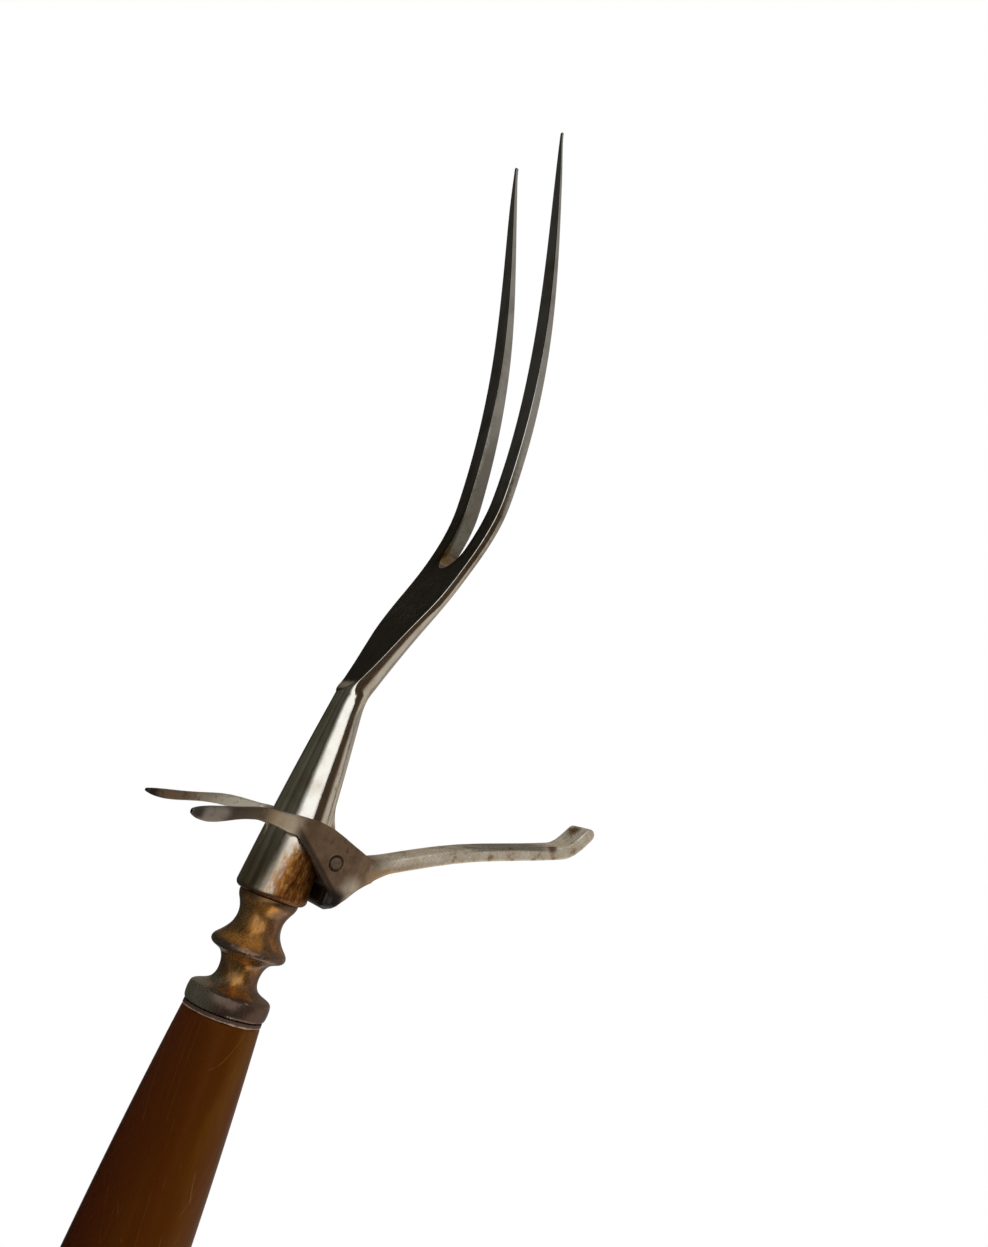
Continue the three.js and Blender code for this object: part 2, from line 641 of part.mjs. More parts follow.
// The round space in front of the rivet, which the shank sweeps through as the guard folds. It is wider
// where the horns start, because they fold towards the thicker end of the shank.
function shankSweep() {
  const past = 2 * PIVOT_HEIGHT + LUG_RADIUS;
  const rings = [];
  for (let step = 0; step <= SWING_STEPS; step += 1) {
    const turn = THREE.MathUtils.lerp(FOLD_ANGLE + SWING_MARGIN, -SWING_MARGIN, step / SWING_STEPS);
    const place = (across, distance) => {
      const point = turnedPoint(0, -distance, turn);
      return new THREE.Vector3(point.x, across, point.y);
    };
    const share = THREE.MathUtils.clamp(1 - turn / FOLD_ANGLE, 0, 1);
    const radius = shankRadius(onShank(PIVOT + share * HEEL_BOTTOM)) + SWING_CLEARANCE;
    const ring = [place(radius, past), place(-radius, past)];
    for (let side = 0; side <= HEAD_SIDES / 2; side += 1) {
      const angle = (2 * Math.PI * side) / HEAD_SIDES;
      ring.push(place(-radius * Math.cos(angle), PIVOT_HEIGHT - radius * Math.sin(angle)));
    }
    rings.push(ring);
  }
  return solid(loft(rings));
}

// The shank with its clearance as it lies when the guard is turned by some degrees.
function shankSpace(degrees) {
  const reach = 2 * CHEEK_HALF_WIDTH;
  const wall = [];
  for (let step = 0; step <= CURVE_STEPS; step += 1) {
    const x = THREE.MathUtils.lerp(PIVOT - reach, PIVOT + reach, step / CURVE_STEPS);
    wall.push([shankRadius(onShank(x)) + SWING_CLEARANCE, x]);
  }
  const outline = pointList([[0, PIVOT - reach], ...wall, [0, PIVOT + reach]]);
  return solid(turned(outline)).translate(-PIVOT, 0, -PIVOT_HEIGHT).rotate([0, -degrees, 0]);
}

function makeGuard() {
  const reach = 2 * HORN_HALF_SPREAD;
  const rivetBore = solid(acrossRod(rivetOutline(RIVET_CLEARANCE, reach)));
  return sidePlate(cheekOutline(), reach)
    .add(sidePlate(legOutline(), reach))
    .add(sidePlate(hornOutline(), reach))
    .intersect(planBlock(guardPlan(), reach))
    .add(sidePlate(heelOutline(), HEEL_HALF_WIDTH))
    .subtract(lugSlot())
    .subtract(shankSweep())
    .subtract(shankSpace(0))
    .subtract(shankSpace(FOLD_ANGLE))
    .subtract(rivetBore)
    .subtract(underTable());
}

const finish = (color, roughness, metalness) => new THREE.MeshStandardMaterial({ color, roughness, metalness });

function part(name, geometry, material) {
  const mesh = new THREE.Mesh(geometry, material);
  mesh.name = name;
  return mesh;
}

const pivotGroup = new THREE.Group();
pivotGroup.position.set(PIVOT, 0, PIVOT_HEIGHT);
pivotGroup.add(part('guard', geometryOf(makeGuard()), finish(0x8f857c, 0.35, 1)));
pivotGroup.add(part('guard_rivet', makeRivet(), finish(0xa79d92, 0.3, 1)));

const fork = new THREE.Group();
fork.add(part('fork_head', geometryOf(makeForkHead()), finish(0xb3aca2, 0.15, 1)));
fork.add(part('bolster', makeBolster(), finish(0x9b7a4f, 0.3, 1)));
fork.add(part('handle', makeHandle(), finish(0x5c3714, 0.2, 0)));
fork.add(part('handle_cement', makeCement(), finish(0xd8c9a6, 0.7, 0)));
fork.add(pivotGroup);
fork.rotation.y = -TILT;

// The fork as it lies, with the middle of its footprint at the origin and the table at height 0.
const assembly = new THREE.Group();
assembly.add(fork);
assembly.updateMatrixWorld(true);
const extent = new THREE.Box3().setFromObject(assembly, true);
const middle = extent.getCenter(new THREE.Vector3());
fork.position.set(-middle.x, -middle.y, -extent.min.z);

export default assembly;
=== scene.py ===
"""The looks of a carving fork with a folding guard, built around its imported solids.

Sizes are millimetres in the fork's own frame: X along the axis towards the tines, with 0 at the top of
the handle, Y across, and Z towards the back. FORK carries that frame into the row frame, in metres.
"""
import json
import math

import bmesh
import bpy
import numpy as np
from mathutils import Matrix, Vector


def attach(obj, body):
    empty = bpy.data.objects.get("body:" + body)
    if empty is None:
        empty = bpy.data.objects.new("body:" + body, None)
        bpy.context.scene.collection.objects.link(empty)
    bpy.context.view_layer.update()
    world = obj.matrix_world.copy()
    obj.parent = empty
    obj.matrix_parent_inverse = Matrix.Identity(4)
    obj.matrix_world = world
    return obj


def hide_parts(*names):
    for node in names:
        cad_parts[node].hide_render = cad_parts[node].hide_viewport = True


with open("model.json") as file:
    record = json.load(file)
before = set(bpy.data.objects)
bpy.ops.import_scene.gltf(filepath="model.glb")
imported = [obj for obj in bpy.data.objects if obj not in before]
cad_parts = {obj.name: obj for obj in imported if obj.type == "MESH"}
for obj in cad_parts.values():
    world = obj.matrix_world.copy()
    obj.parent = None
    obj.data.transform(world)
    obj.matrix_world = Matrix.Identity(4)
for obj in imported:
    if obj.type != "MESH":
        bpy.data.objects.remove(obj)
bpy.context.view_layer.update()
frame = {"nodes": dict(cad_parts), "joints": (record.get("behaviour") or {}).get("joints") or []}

MM = 0.001

# Handle, cement and tang
HANDLE_LENGTH = 104
HANDLE_TOP_RADIUS = 6.4
HANDLE_SWELL_RADIUS = 10.18
HANDLE_SWELL_FROM_BUTT = 26
HANDLE_BUTT_RADIUS = 5.5
HANDLE_SOFTNESS = 0.3
CEMENT_LINE = 0.5
CEMENT_LAP = 0.16
CEMENT_ROUND = 0.1
CEMENT_PROUD = (0.04, 0.06)
CEMENT_UNDERCUT = (0.05, 0.1)
CEMENT_LIP = 0.04
CEMENT_SOFTNESS = 0.04
SEAT_GAP = 0.1
TANG_RADIUS = 2.4
TANG_END_RADIUS = 1.5
TANG_IN_HANDLE = 56
TANG_SHOULDER = 0.01

# The cement's uneven lap round the handle: height, number of waves and start of each sine
CEMENT_WAVES = ((0.2, 3, 1), (0.17, 7, 0), (0.13, 16, 2))

# Turned bolster: (height above its base, radius) up from the collar, over the bead, to the cup
BOLSTER_LENGTH = 18.2
BOLSTER_PROFILE = (
    (0, 6.2), (0.3, 6.6), (1.4, 6.75), (2.5, 6.65), (2.95, 6.3), (3.5, 4.9), (4.1, 3.95), (5, 3.45),
    (6, 3.35), (7, 3.48), (7.8, 3.8), (8.4, 4.3), (8.8, 5.1), (9.1, 5.8), (9.6, 6.18), (10.2, 6.12),
    (10.7, 5.75), (11.3, 5.15), (12.1, 4.5), (13, 4), (14.2, 3.75), (15.3, 3.85), (16.3, 4.25),
    (17, 4.65), (17.5, 4.85), (17.85, 4.93),
)

# Shank, neck and tines, with heights measured on the front face
SHANK_LENGTH = 34.7
SHANK_BASE_RADIUS = 6.05
SHANK_END_RADIUS = 2.6
SHANK_BULGE = 0.22
SHANK_BASE_ROUND = 1.1
NECK_LENGTH = 27.8
NECK_FACET_LENGTH = 3
NECK_FACET_RISE = 1
NECK_FLARE_LENGTH = 18.8
NECK_MID_HALF_WIDTH = 5.95
NECK_HALF_WIDTH = 8.65
NECK_THICKNESS = 3.1
NECK_FRONT_HEIGHT = 7
TINE_LENGTH = 82
TINE_HALF_SPREAD = 9.4
TINE_SPREAD_FROM_TIP = 34
TINE_THICKNESS = 1.9
TINE_SQUARENESS = 2.5
TINE_SQUARE_REACH = (12, 48)
TIP_TAPER_LENGTH = 9
TIP_TAPER_HALF_SPREAD = 9
TIP_HALF_SPREAD = 8.25
TIP_WIDTH = 0.5
TIP_THICKNESS = 0.5
TIP_HEIGHT = -6.5
TIP_WEAR = 0.02
CREST_HEIGHT = 9.05
CREST_FROM_CROTCH = 14.5
MID_TINE_HEIGHT = 5
MID_TINE_FROM_TIP = 38
CROTCH_RADIUS = 3.9
LOW_TINE_WIDTH = 4.15
LOW_TINE_FROM_CROTCH = 20
MID_TINE_WIDTH = 3.8

# The ground front face: how far it takes to reach full width, and the edges beside it
FACET_LENGTH = 3
FACET_BLEND = 0.5
FACET_STEP = 0.6
FACET_STEP_LENGTH = 3
FACET_STEP_FADE = (4, 16)
FACET_EDGE_INSET = 0.14
FACET_EDGE_HEIGHT = 0.16
FACET_EDGE_ANGLE = math.radians(60)
FACET_EDGE_ROUND = 0.14
FACET_EASE_SHARE = 0.4
CORNER_WEIGHTS = (0.25, 0.5, 0.25)
GAP_EDGE_ROUND = 0.2
GAP_EASE_SHARE = 0.3
TIP_FINE_LENGTH = 20
TIP_FINENESS = 0.12
SHANK_BLEND = 4

# Pivot lug and rivet
PIVOT_FROM_SHANK_BASE = 8.5
RIVET_BEHIND_SHANK = 0.63
LUG_RADIUS = 2.8
LUG_CREST_HALF_WIDTH = 1.3
LUG_ROOT_HALF_WIDTH = 2.6
LUG_RAMP = 6.8
LUG_RAMP_HOLLOW = 1.8
RIVET_RADIUS = 0.85
RIVET_HEAD_RADIUS = 1.15
RIVET_HEAD_DEPTH = 0.7
RIVET_PROUD = 0.1
RIVET_CROWN = 0.05
RIVET_SOFTNESS = 0.06

# Guard: the heel's places are from the pivot, and the horns' heights from the table
CHEEK_HALF_WIDTH_OVER_SHANK = 0.95
GUARD_VOXEL = 0.12
GUARD_SMOOTHING = 55
GUARD_SMOOTHING_FACTOR = 0.5
GUARD_RIDGE_SMOOTHING = 8
LEG_HEIGHTS = (9.5, 40)
LEG_HALF_WIDTH = 2.9
LEG_HALF_THICKNESS = 1.15
LEG_FILLET_HEIGHT = 6.5
LEG_FILLET_LENGTH = 9
LEG_FILLET_WIDTH = 1.35
LEG_FILLET_DEPTH = 1.35
LEG_FILLET_DROP = 0.7
LEG_FILLET_SQUARENESS = 6
HEEL_ALONG = (-7.2, -3)
HEEL_BACK = (0.4, 2.7)
HEEL_HALF_WIDTH = 5.9
HEEL_ROUND = 0.25
HEEL_SQUARENESS = 8
HORN_HEIGHT = 13
HORN_LINE_DEGREE = 3
HORN_WIDTHS = ((0, 0.62), (1.1, 0.9), (2.8, 1.04), (5.5, 1.12), (9, 1.08), (13, 1))
HORN_DEPTHS = ((0, 0.5), (0.9, 0.85), (2, 1), (13, 1))
FAR_HORN_WIDTH = 0.68
FAR_HORN_SLIM_HEIGHT = 5

# How finely surfaces are divided
TURNED_SIDES = 160
RIVET_SIDES = 48
RING_SIDES = 40
PROFILE_STEP = 0.08
PROFILE_SOFTNESS = 0.12
FINE_STEP = 0.05
BASE_STEPS = 16
SHANK_STEPS = 120
NECK_STEPS = 60
NECK_STEP_SPREAD = 1.5
CROTCH_STEPS = 25
TINE_STEPS = 150
FRONT_POINTS = 16
EDGE_POINTS = 14
BACK_POINTS = 34
BACK_POINT_SPREAD = 1.4
WALL_POINTS = 6
BLEND_POINTS = 41
BOLSTER_STEPS = 12
HANDLE_STEPS = 60
LEG_FILLET_RINGS = 16
HEEL_RINGS = 9

# Places along the axis
BOLSTER_BASE = CEMENT_LINE + 2 * SEAT_GAP
SHANK_BASE = BOLSTER_BASE + BOLSTER_LENGTH + SEAT_GAP
SHANK_END = SHANK_BASE + SHANK_LENGTH
CROTCH = SHANK_END + NECK_LENGTH
CROTCH_CENTRE = CROTCH + CROTCH_RADIUS
TIP = CROTCH + TINE_LENGTH
PIVOT = SHANK_BASE + PIVOT_FROM_SHANK_BASE
MID_TINE = TIP - TINE_SPREAD_FROM_TIP
LOW_TINE = CROTCH + LOW_TINE_FROM_CROTCH

# Wear and painted shade: points with their reach, and heights and places where colours change
CROTCH_STAIN = (CROTCH + 3, -4, 8.2)
GAP_WALL = (5.4, 5)
BARE_PATCHES = (((23.9, 6, 10.6), 3.5), ((30.6, 7, -5), 4.5))
RUST_SPOTS = (((47.9, -0.3, 53), 2.3), ((43.2, 2.9, 47), 1.5))
HORN_TIP_HEIGHTS = (-19.4, -20.6)
# Slope and places of the painted shade along the cheeks' lower edges
CHEEK_SHADE_SLOPE = 0.74
CHEEK_SHADE_PLACES = (29.5, 28.8)

# Camera, matched to the photograph: place and directions in the fork's frame
CAMERA_PLACE = Vector((31.47, 165.34, -65.9))
CAMERA_RIGHT = Vector((0.3433, 0.5076, 0.7902))
CAMERA_UP = Vector((0.9091, 0.0316, -0.4153))
CAMERA_CLIP_START = 0.005
PHOTO_HEIGHT = 1247
FOCAL_PIXELS = 1050
SENSOR = 36

# Stage, in metres in the row frame
STAGE_REACH = 1.5
FLOOR_COLOR = (0.8, 0.8, 0.79, 1)
FLOOR_FADE = (0.3, 1.2)
TABLE_SCREEN_HEIGHT = 0.0006
TENT_RADIUS = 0.9
TENT_REACH = 0.8
TENT_FOOT = 0.001
TENT_STEPS = 48
WINDOW_LIGHT = (1.15, 1.14, 1.1)
SOFT_LIGHT = 0.6
LAMP_TARGET = Vector((0, 0, 0.03))
LAMPS = (("key", (-0.25, 0.45, 0.7), 0.6, 2.2), ("fill", (0.4, -0.5, 0.6), 0.7, 1.4))


def smooth_step(low, high, x):
    """0 below low, 1 above high, and a smooth rise between them."""
    t = np.clip((np.asarray(x, float) - low) / (high - low), 0, 1)
    return t * t * (3 - 2 * t)


def smooth_curve(*points):
    """A smooth function through (place, value) points, in order of place."""
    places, values = np.array(points, float).T
    run = np.diff(places)
    first, last = (np.diff(values) / run)[[0, -1]]
    slopes = np.r_[first, (values[2:] - values[:-2]) / (places[2:] - places[:-2]), last]

    def value_at(x):
        i = np.clip(np.searchsorted(places, x) - 1, 0, len(run) - 1)
        t = np.clip((x - places[i]) / run[i], 0, 1)
        rise = values[i + 1] - values[i]
        start = slopes[i] * run[i] - rise
        end = rise - slopes[i + 1] * run[i]
        return values[i] + rise * t + t * (1 - t) * (start * (1 - t) + end * t)

    return value_at


def shank_radius(x):
    """Shank radius at a place on the axis."""
    t = np.clip((x - SHANK_BASE) / SHANK_LENGTH, 0, 1)
    short = np.clip(1 - (x - SHANK_BASE) / SHANK_BASE_ROUND, 0, 1)
    rounding = SHANK_BASE_ROUND * (1 - np.sqrt(1 - short**2))
    straight = SHANK_BASE_RADIUS + (SHANK_END_RADIUS - SHANK_BASE_RADIUS) * t
    return straight + 4 * SHANK_BULGE * t * (1 - t) - rounding


PIVOT_HEIGHT = float(shank_radius(PIVOT)) + RIVET_BEHIND_SHANK
CHEEK_HALF_WIDTH = float(shank_radius(PIVOT)) + CHEEK_HALF_WIDTH_OVER_SHANK

head_front = smooth_curve(
    (SHANK_END, -SHANK_END_RADIUS),
    (SHANK_END + NECK_FACET_LENGTH, NECK_FACET_RISE - SHANK_END_RADIUS),
    (CROTCH, NECK_FRONT_HEIGHT),
    (CROTCH + CREST_FROM_CROTCH, CREST_HEIGHT),
    (TIP - MID_TINE_FROM_TIP, MID_TINE_HEIGHT),
    (TIP, TIP_HEIGHT),
)
head_half_width = smooth_curve(
    (SHANK_END, SHANK_END_RADIUS),
    (SHANK_END + NECK_FLARE_LENGTH / 2, NECK_MID_HALF_WIDTH),
    (SHANK_END + NECK_FLARE_LENGTH, NECK_HALF_WIDTH),
    (CROTCH, NECK_HALF_WIDTH),
    (MID_TINE, TINE_HALF_SPREAD),
    (TIP - TIP_TAPER_LENGTH, TIP_TAPER_HALF_SPREAD),
    (TIP, TIP_HALF_SPREAD),
)
head_thickness = smooth_curve(
    (SHANK_END, 2 * SHANK_END_RADIUS),
    (SHANK_END + NECK_FLARE_LENGTH, NECK_THICKNESS),
    (CROTCH + CREST_FROM_CROTCH, NECK_THICKNESS),
    (MID_TINE, TINE_THICKNESS),
    (TIP, TIP_THICKNESS),
)
half_gap = smooth_curve(
    (CROTCH_CENTRE, CROTCH_RADIUS),
    (LOW_TINE, float(head_half_width(LOW_TINE)) - LOW_TINE_WIDTH),
    (MID_TINE, TINE_HALF_SPREAD - MID_TINE_WIDTH),
    (TIP, TIP_HALF_SPREAD - TIP_WIDTH),
)


# The fork's frame in the row frame

def axis_direction(node):
    """Direction of a turned node's axis, from the centres and areas of its faces."""
    faces = frame["nodes"][node].data.polygons
    centres = np.array([face.center for face in faces])
    areas = np.array([face.area for face in faces])
    direction = np.linalg.eigh(np.cov(centres.T, aweights=areas))[1][:, -1]
    return Vector(direction * np.sign(direction[0]))


def fork_matrix():
    """From millimetres in the fork's frame to metres in the row frame."""
    along = axis_direction("handle")
    across = Vector((0, 1, 0))
    back = along.cross(across)
    turn = Matrix((along, across, back)).transposed().to_4x4()
    pivot = Vector(frame["joints"][0]["pos_m"])
    to_pivot = Matrix.Translation((-PIVOT, 0, -PIVOT_HEIGHT))
    return Matrix.Translation(pivot) @ turn @ Matrix.Scale(MM, 4) @ to_pivot


FORK = fork_matrix()
MIRROR_EYE = FORK @ Vector((CAMERA_PLACE.x, -CAMERA_PLACE.y, CAMERA_PLACE.z))


# Mesh making

def linked(name, data):
    """A new object in the scene."""
    made = bpy.data.objects.new(name, data)
    bpy.context.scene.collection.objects.link(made)
    return made


def new_object(name, points, faces):
    """A mesh object from points in the fork's frame, with equal points joined."""
    mesh = bpy.data.meshes.new(name)
    turned = np.array(FORK)
    placed = np.asarray(points, float) @ turned[:3, :3].T + turned[:3, 3]
    mesh.from_pydata(placed.tolist(), [], faces)
    work = bmesh.new()
    work.from_mesh(mesh)
    bmesh.ops.remove_doubles(work, verts=work.verts, dist=1e-7)
    bmesh.ops.recalc_face_normals(work, faces=work.faces)
    work.to_mesh(mesh)
    work.free()
    return linked(name, mesh)


def bake_modifiers(made):
    """Keeps what an object's modifiers make of its mesh."""
    graph = bpy.context.evaluated_depsgraph_get()
    mesh = bpy.data.meshes.new_from_object(made.evaluated_get(graph))
    made.modifiers.clear()
    made.data = mesh


def read_rows(items, name, width=3, kind=np.float32):
    """A row of numbers for each of a mesh's points, normals or edges."""
    values = np.empty(width * len(items), kind)
    items.foreach_get(name, values)
    return values.reshape(-1, width)


def fork_places(mesh):
    """Each point's place in the fork's frame."""
    back = np.array(FORK.inverted())
    return read_rows(mesh.vertices, "co") @ back[:3, :3].T + back[:3, 3]


def mark_places(mesh):
    """Keeps each point's place in the fork's frame, for the materials."""
    attribute = mesh.attributes.new("fork_mm", "FLOAT_VECTOR", "POINT")
    attribute.data.foreach_set("vector", fork_places(mesh).astype(np.float32).ravel())


def mark_ridges(mesh, smoothing):
    """How far each point stands out from its neighbours: 1 on a sharp ridge, -1 in a sharp hollow."""
    places = read_rows(mesh.vertices, "co")
    normals = read_rows(mesh.vertex_normals, "vector")
    ends = read_rows(mesh.edges, "vertices", 2, np.int32)
    count = len(places)
    first, other = np.vstack([ends, ends[:, ::-1]]).T
    toward = places[first] - places[other]
    toward /= np.maximum(np.linalg.norm(toward, axis=1, keepdims=True), 1e-12)
    neighbours = np.maximum(np.bincount(first, minlength=count), 1)
    ridges = np.bincount(first, np.sum(toward * normals[first], axis=1), count) / neighbours
    for _ in range(smoothing):
        ridges = (ridges + np.bincount(first, ridges[other], count) / neighbours) / 2
    attribute = mesh.attributes.new("ridge", "FLOAT", "POINT")
    attribute.data.foreach_set("value", ridges.astype(np.float32))


def dress(made, body, node, material, ridge_smoothing=0):
    """A finished piece that stands for a CAD node and moves with its body."""
    made.data.materials.clear()
    made.data.materials.append(material)
    made.data.shade_smooth()
    mark_places(made.data)
    mark_ridges(made.data, ridge_smoothing)
    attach(made, body)
    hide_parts(node)


def loft_object(name, rings, ends):
    """A skin over rings of points: its ends are "closed" by faces, "open", or "joined" to each other."""
    rings = np.asarray(rings, float)
    count, sides = rings.shape[:2]
    faces = []
    for row in range(count if ends == "joined" else count - 1):
        here, after = row * sides, (row + 1) % count * sides
        for side in range(sides):
            beside = (side + 1) % sides
            faces.append((here + side, here + beside, after + beside, after + side))
    if ends == "closed":
        faces.append(tuple(range(sides)))
        faces.append(tuple((count - 1) * sides + side for side in range(sides))[::-1])
    return new_object(name, rings.reshape(-1, 3), faces)


def turned_rings(profile, sides=TURNED_SIDES):
    """Rings about the fork's axis from (place, radius) points."""
    angles = np.linspace(0, 2 * math.pi, sides, endpoint=False)
    place, radius = profile.T[:, :, None]
    across, back = radius * np.cos(angles), radius * np.sin(angles)
    return np.stack([np.repeat(place, sides, axis=1), across, back], axis=-1)


def softened(outline, step=PROFILE_STEP, softness=PROFILE_SOFTNESS):
    """An outline at even steps, with its corners worn round."""
    corners = np.asarray(outline, float)
    lengths = np.r_[0, np.cumsum(np.linalg.norm(np.diff(corners, axis=0), axis=1))]
    even = np.linspace(0, lengths[-1], max(int(lengths[-1] / step), 8))
    points = np.stack([np.interp(even, lengths, column) for column in corners.T], axis=-1)
    reach = max(int(3 * softness / step), 1)
    offsets = np.arange(-reach, reach + 1)
    weights = np.exp(-0.5 * (offsets * step / softness) ** 2)
    weights /= weights.sum()
    padded = np.pad(points, ((reach, reach), (0, 0)), mode="reflect", reflect_type="odd")
    return np.stack([np.convolve(column, weights, mode="valid") for column in padded.T], axis=-1)


# Fork head

def head_stations():
    """Places of the head's cross-sections, each one's angle round the crotch, and the first beside it."""
    bend = np.linspace(math.pi, math.pi / 2, CROTCH_STEPS)
    round_places = CROTCH_CENTRE + (CROTCH_RADIUS + GAP_EDGE_ROUND) * np.cos(bend)
    tang = np.array([-TANG_IN_HANDLE, 0, SHANK_BASE - TANG_SHOULDER])
    base = SHANK_BASE + SHANK_BASE_ROUND * np.linspace(0, 1, BASE_STEPS, endpoint=False) ** 2
    shank = np.linspace(SHANK_BASE + SHANK_BASE_ROUND, SHANK_END, SHANK_STEPS, endpoint=False)
    facet = np.linspace(0, 1, NECK_STEPS, endpoint=False) ** NECK_STEP_SPREAD
    neck = SHANK_END + (round_places[0] - SHANK_END) * facet
    tines = np.linspace(CROTCH_CENTRE, TIP - TIP_WEAR, TINE_STEPS)[1:]
    before = np.r_[tang, base, shank, neck]
    places = np.r_[before, round_places, tines]
    bends = np.r_[np.full(len(before), math.pi), bend, np.full(len(tines), math.pi / 2)]
    return places, bends, len(before)


def blended(before, after, reach):
    """One function on the shank and another on the neck, run together over a reach either side."""
    offsets = np.linspace(-1, 1, BLEND_POINTS)
    weights = (1 - offsets**2) ** 2
    weights /= weights.sum()

    def value_at(x):
        places = x + reach * offsets
        shank, neck = np.minimum(places, SHANK_END), np.maximum(places, SHANK_END)
        values = np.where(places < SHANK_END, before(shank), after(neck))
        return float(np.sum(weights * values))

    return value_at


def neck_back(x):
    """Height of the middle of the neck's back."""
    return head_front(x) + head_thickness(x)


def facet_front(x):
    """Height of the ground front face, which starts a little steeper than it goes on."""
    away = x - SHANK_END
    step = smooth_step(0, FACET_STEP_LENGTH, away) * (1 - smooth_step(*FACET_STEP_FADE, away))
    return head_front(x) + FACET_STEP * step


front_at = blended(lambda x: -shank_radius(x), facet_front, FACET_BLEND)
back_at = blended(shank_radius, neck_back, SHANK_BLEND)
half_width_at = blended(shank_radius, head_half_width, SHANK_BLEND)


def fineness(x):
    """Share of the edges' full size, which falls towards the tips."""
    return np.clip((TIP - x) / TIP_FINE_LENGTH, TIP_FINENESS, 1)


def lug_rise(x):
    """How far the lug's crest stands above the shank's back."""
    away = x - PIVOT
    shoulder = LUG_RADIUS * math.sin(math.pi / 4)
    ground = float(shank_radius(x)) - PIVOT_HEIGHT
    if away < shoulder:
        crest = math.sqrt(max(LUG_RADIUS**2 - away**2, 0)) if away > -LUG_RADIUS else ground
    else:
        t = min((away - shoulder) / LUG_RAMP, 1)
        crest = ground + (shoulder - ground) * (1 - t) ** LUG_RAMP_HOLLOW
    return max(crest - ground, 0)


def section_size(x):
    """Height of the front, half width and thickness of the head at a place on the axis."""
    if x < SHANK_BASE + SHANK_BLEND:
        tang = np.interp(x, [-TANG_IN_HANDLE, 0], [TANG_END_RADIUS, TANG_RADIUS])
        half = tang if x < SHANK_BASE else float(shank_radius(x))
        return -half, half, 2 * half
    front = front_at(x)
    return front, half_width_at(x), back_at(x) - front


def head_half_section(x, inner):
    """Half a cross-section of the head, from the middle of its front round the outside to its back."""
    front, half, thickness = section_size(x)
    fine = fineness(x)
    share = np.clip((x - SHANK_END) / FACET_LENGTH, 0, 1)
    flat = smooth_step(0, 1, share)
    facet = (half - FACET_EDGE_INSET * fine) * math.sqrt(share * (2 - share))
    inset = half - facet
    edge = -front + (min(FACET_EDGE_HEIGHT, thickness / 3) * fine + front) * flat
    start = math.asin(facet / half) * (1 - flat) + FACET_EDGE_ANGLE * flat
    power = 2 + flat + TINE_SQUARENESS * smooth_step(*TINE_SQUARE_REACH, x - CROTCH)

    across = np.linspace(inner, max(facet, inner), FRONT_POINTS)
    front_face = np.stack([across, np.full(FRONT_POINTS, front)], axis=-1)
    turn = np.linspace(start, math.pi / 2, EDGE_POINTS)[1:]
    side = np.stack([
        half - inset * (1 - np.sin(turn)) / (1 - math.sin(start)),
        front + edge * (1 - np.cos(turn) / math.cos(start)),
    ], axis=-1)
    lowest = math.asin(min(inner / half, 1) ** (power / 2))
    spread = 1 - np.linspace(0, 1, BACK_POINTS)[1:] ** BACK_POINT_SPREAD
    lean = lowest + (math.pi / 2 - lowest) * spread
    back = np.stack([
        half * np.sin(lean) ** (2 / power),
        front + edge + (thickness - edge) * np.maximum(np.cos(lean), 0) ** (2 / power),
    ], axis=-1)
    if SHANK_BASE < x < SHANK_END:
        flank = 1 - smooth_step(LUG_CREST_HALF_WIDTH, LUG_ROOT_HALF_WIDTH, back[:, 0])
        back[:, 1] += lug_rise(x) * flank

    section = np.vstack([front_face, side, back])
    corner = FRONT_POINTS - 1
    ease = min(FACET_EDGE_ROUND * fine, FACET_EASE_SHARE * (facet - inner))
    if ease > 0:
        section[corner - 1, 0] = facet - ease
        section[corner] = np.dot(CORNER_WEIGHTS, section[corner - 1:corner + 2])
    return section


def gap_wall(x, section, inner, wall_y, shift):
    """The gap's wall beside a tine, from the inner end of its back round to that of its front."""
    front, back = section[0, 1], section[-1, 1]
    ease = min(GAP_EDGE_ROUND * fineness(x), GAP_EASE_SHARE * (back - front))
    turn = np.linspace(0, math.pi / 2, WALL_POINTS)
    depth, drop = np.sin(turn), ease * (1 - np.cos(turn))
    place, across = x + shift * depth, inner - (inner - wall_y) * depth
    top = np.stack([place, across, back - drop], axis=-1)
    bottom = np.stack([place, across, front + drop], axis=-1)
    return np.vstack([top, bottom[::-1]])


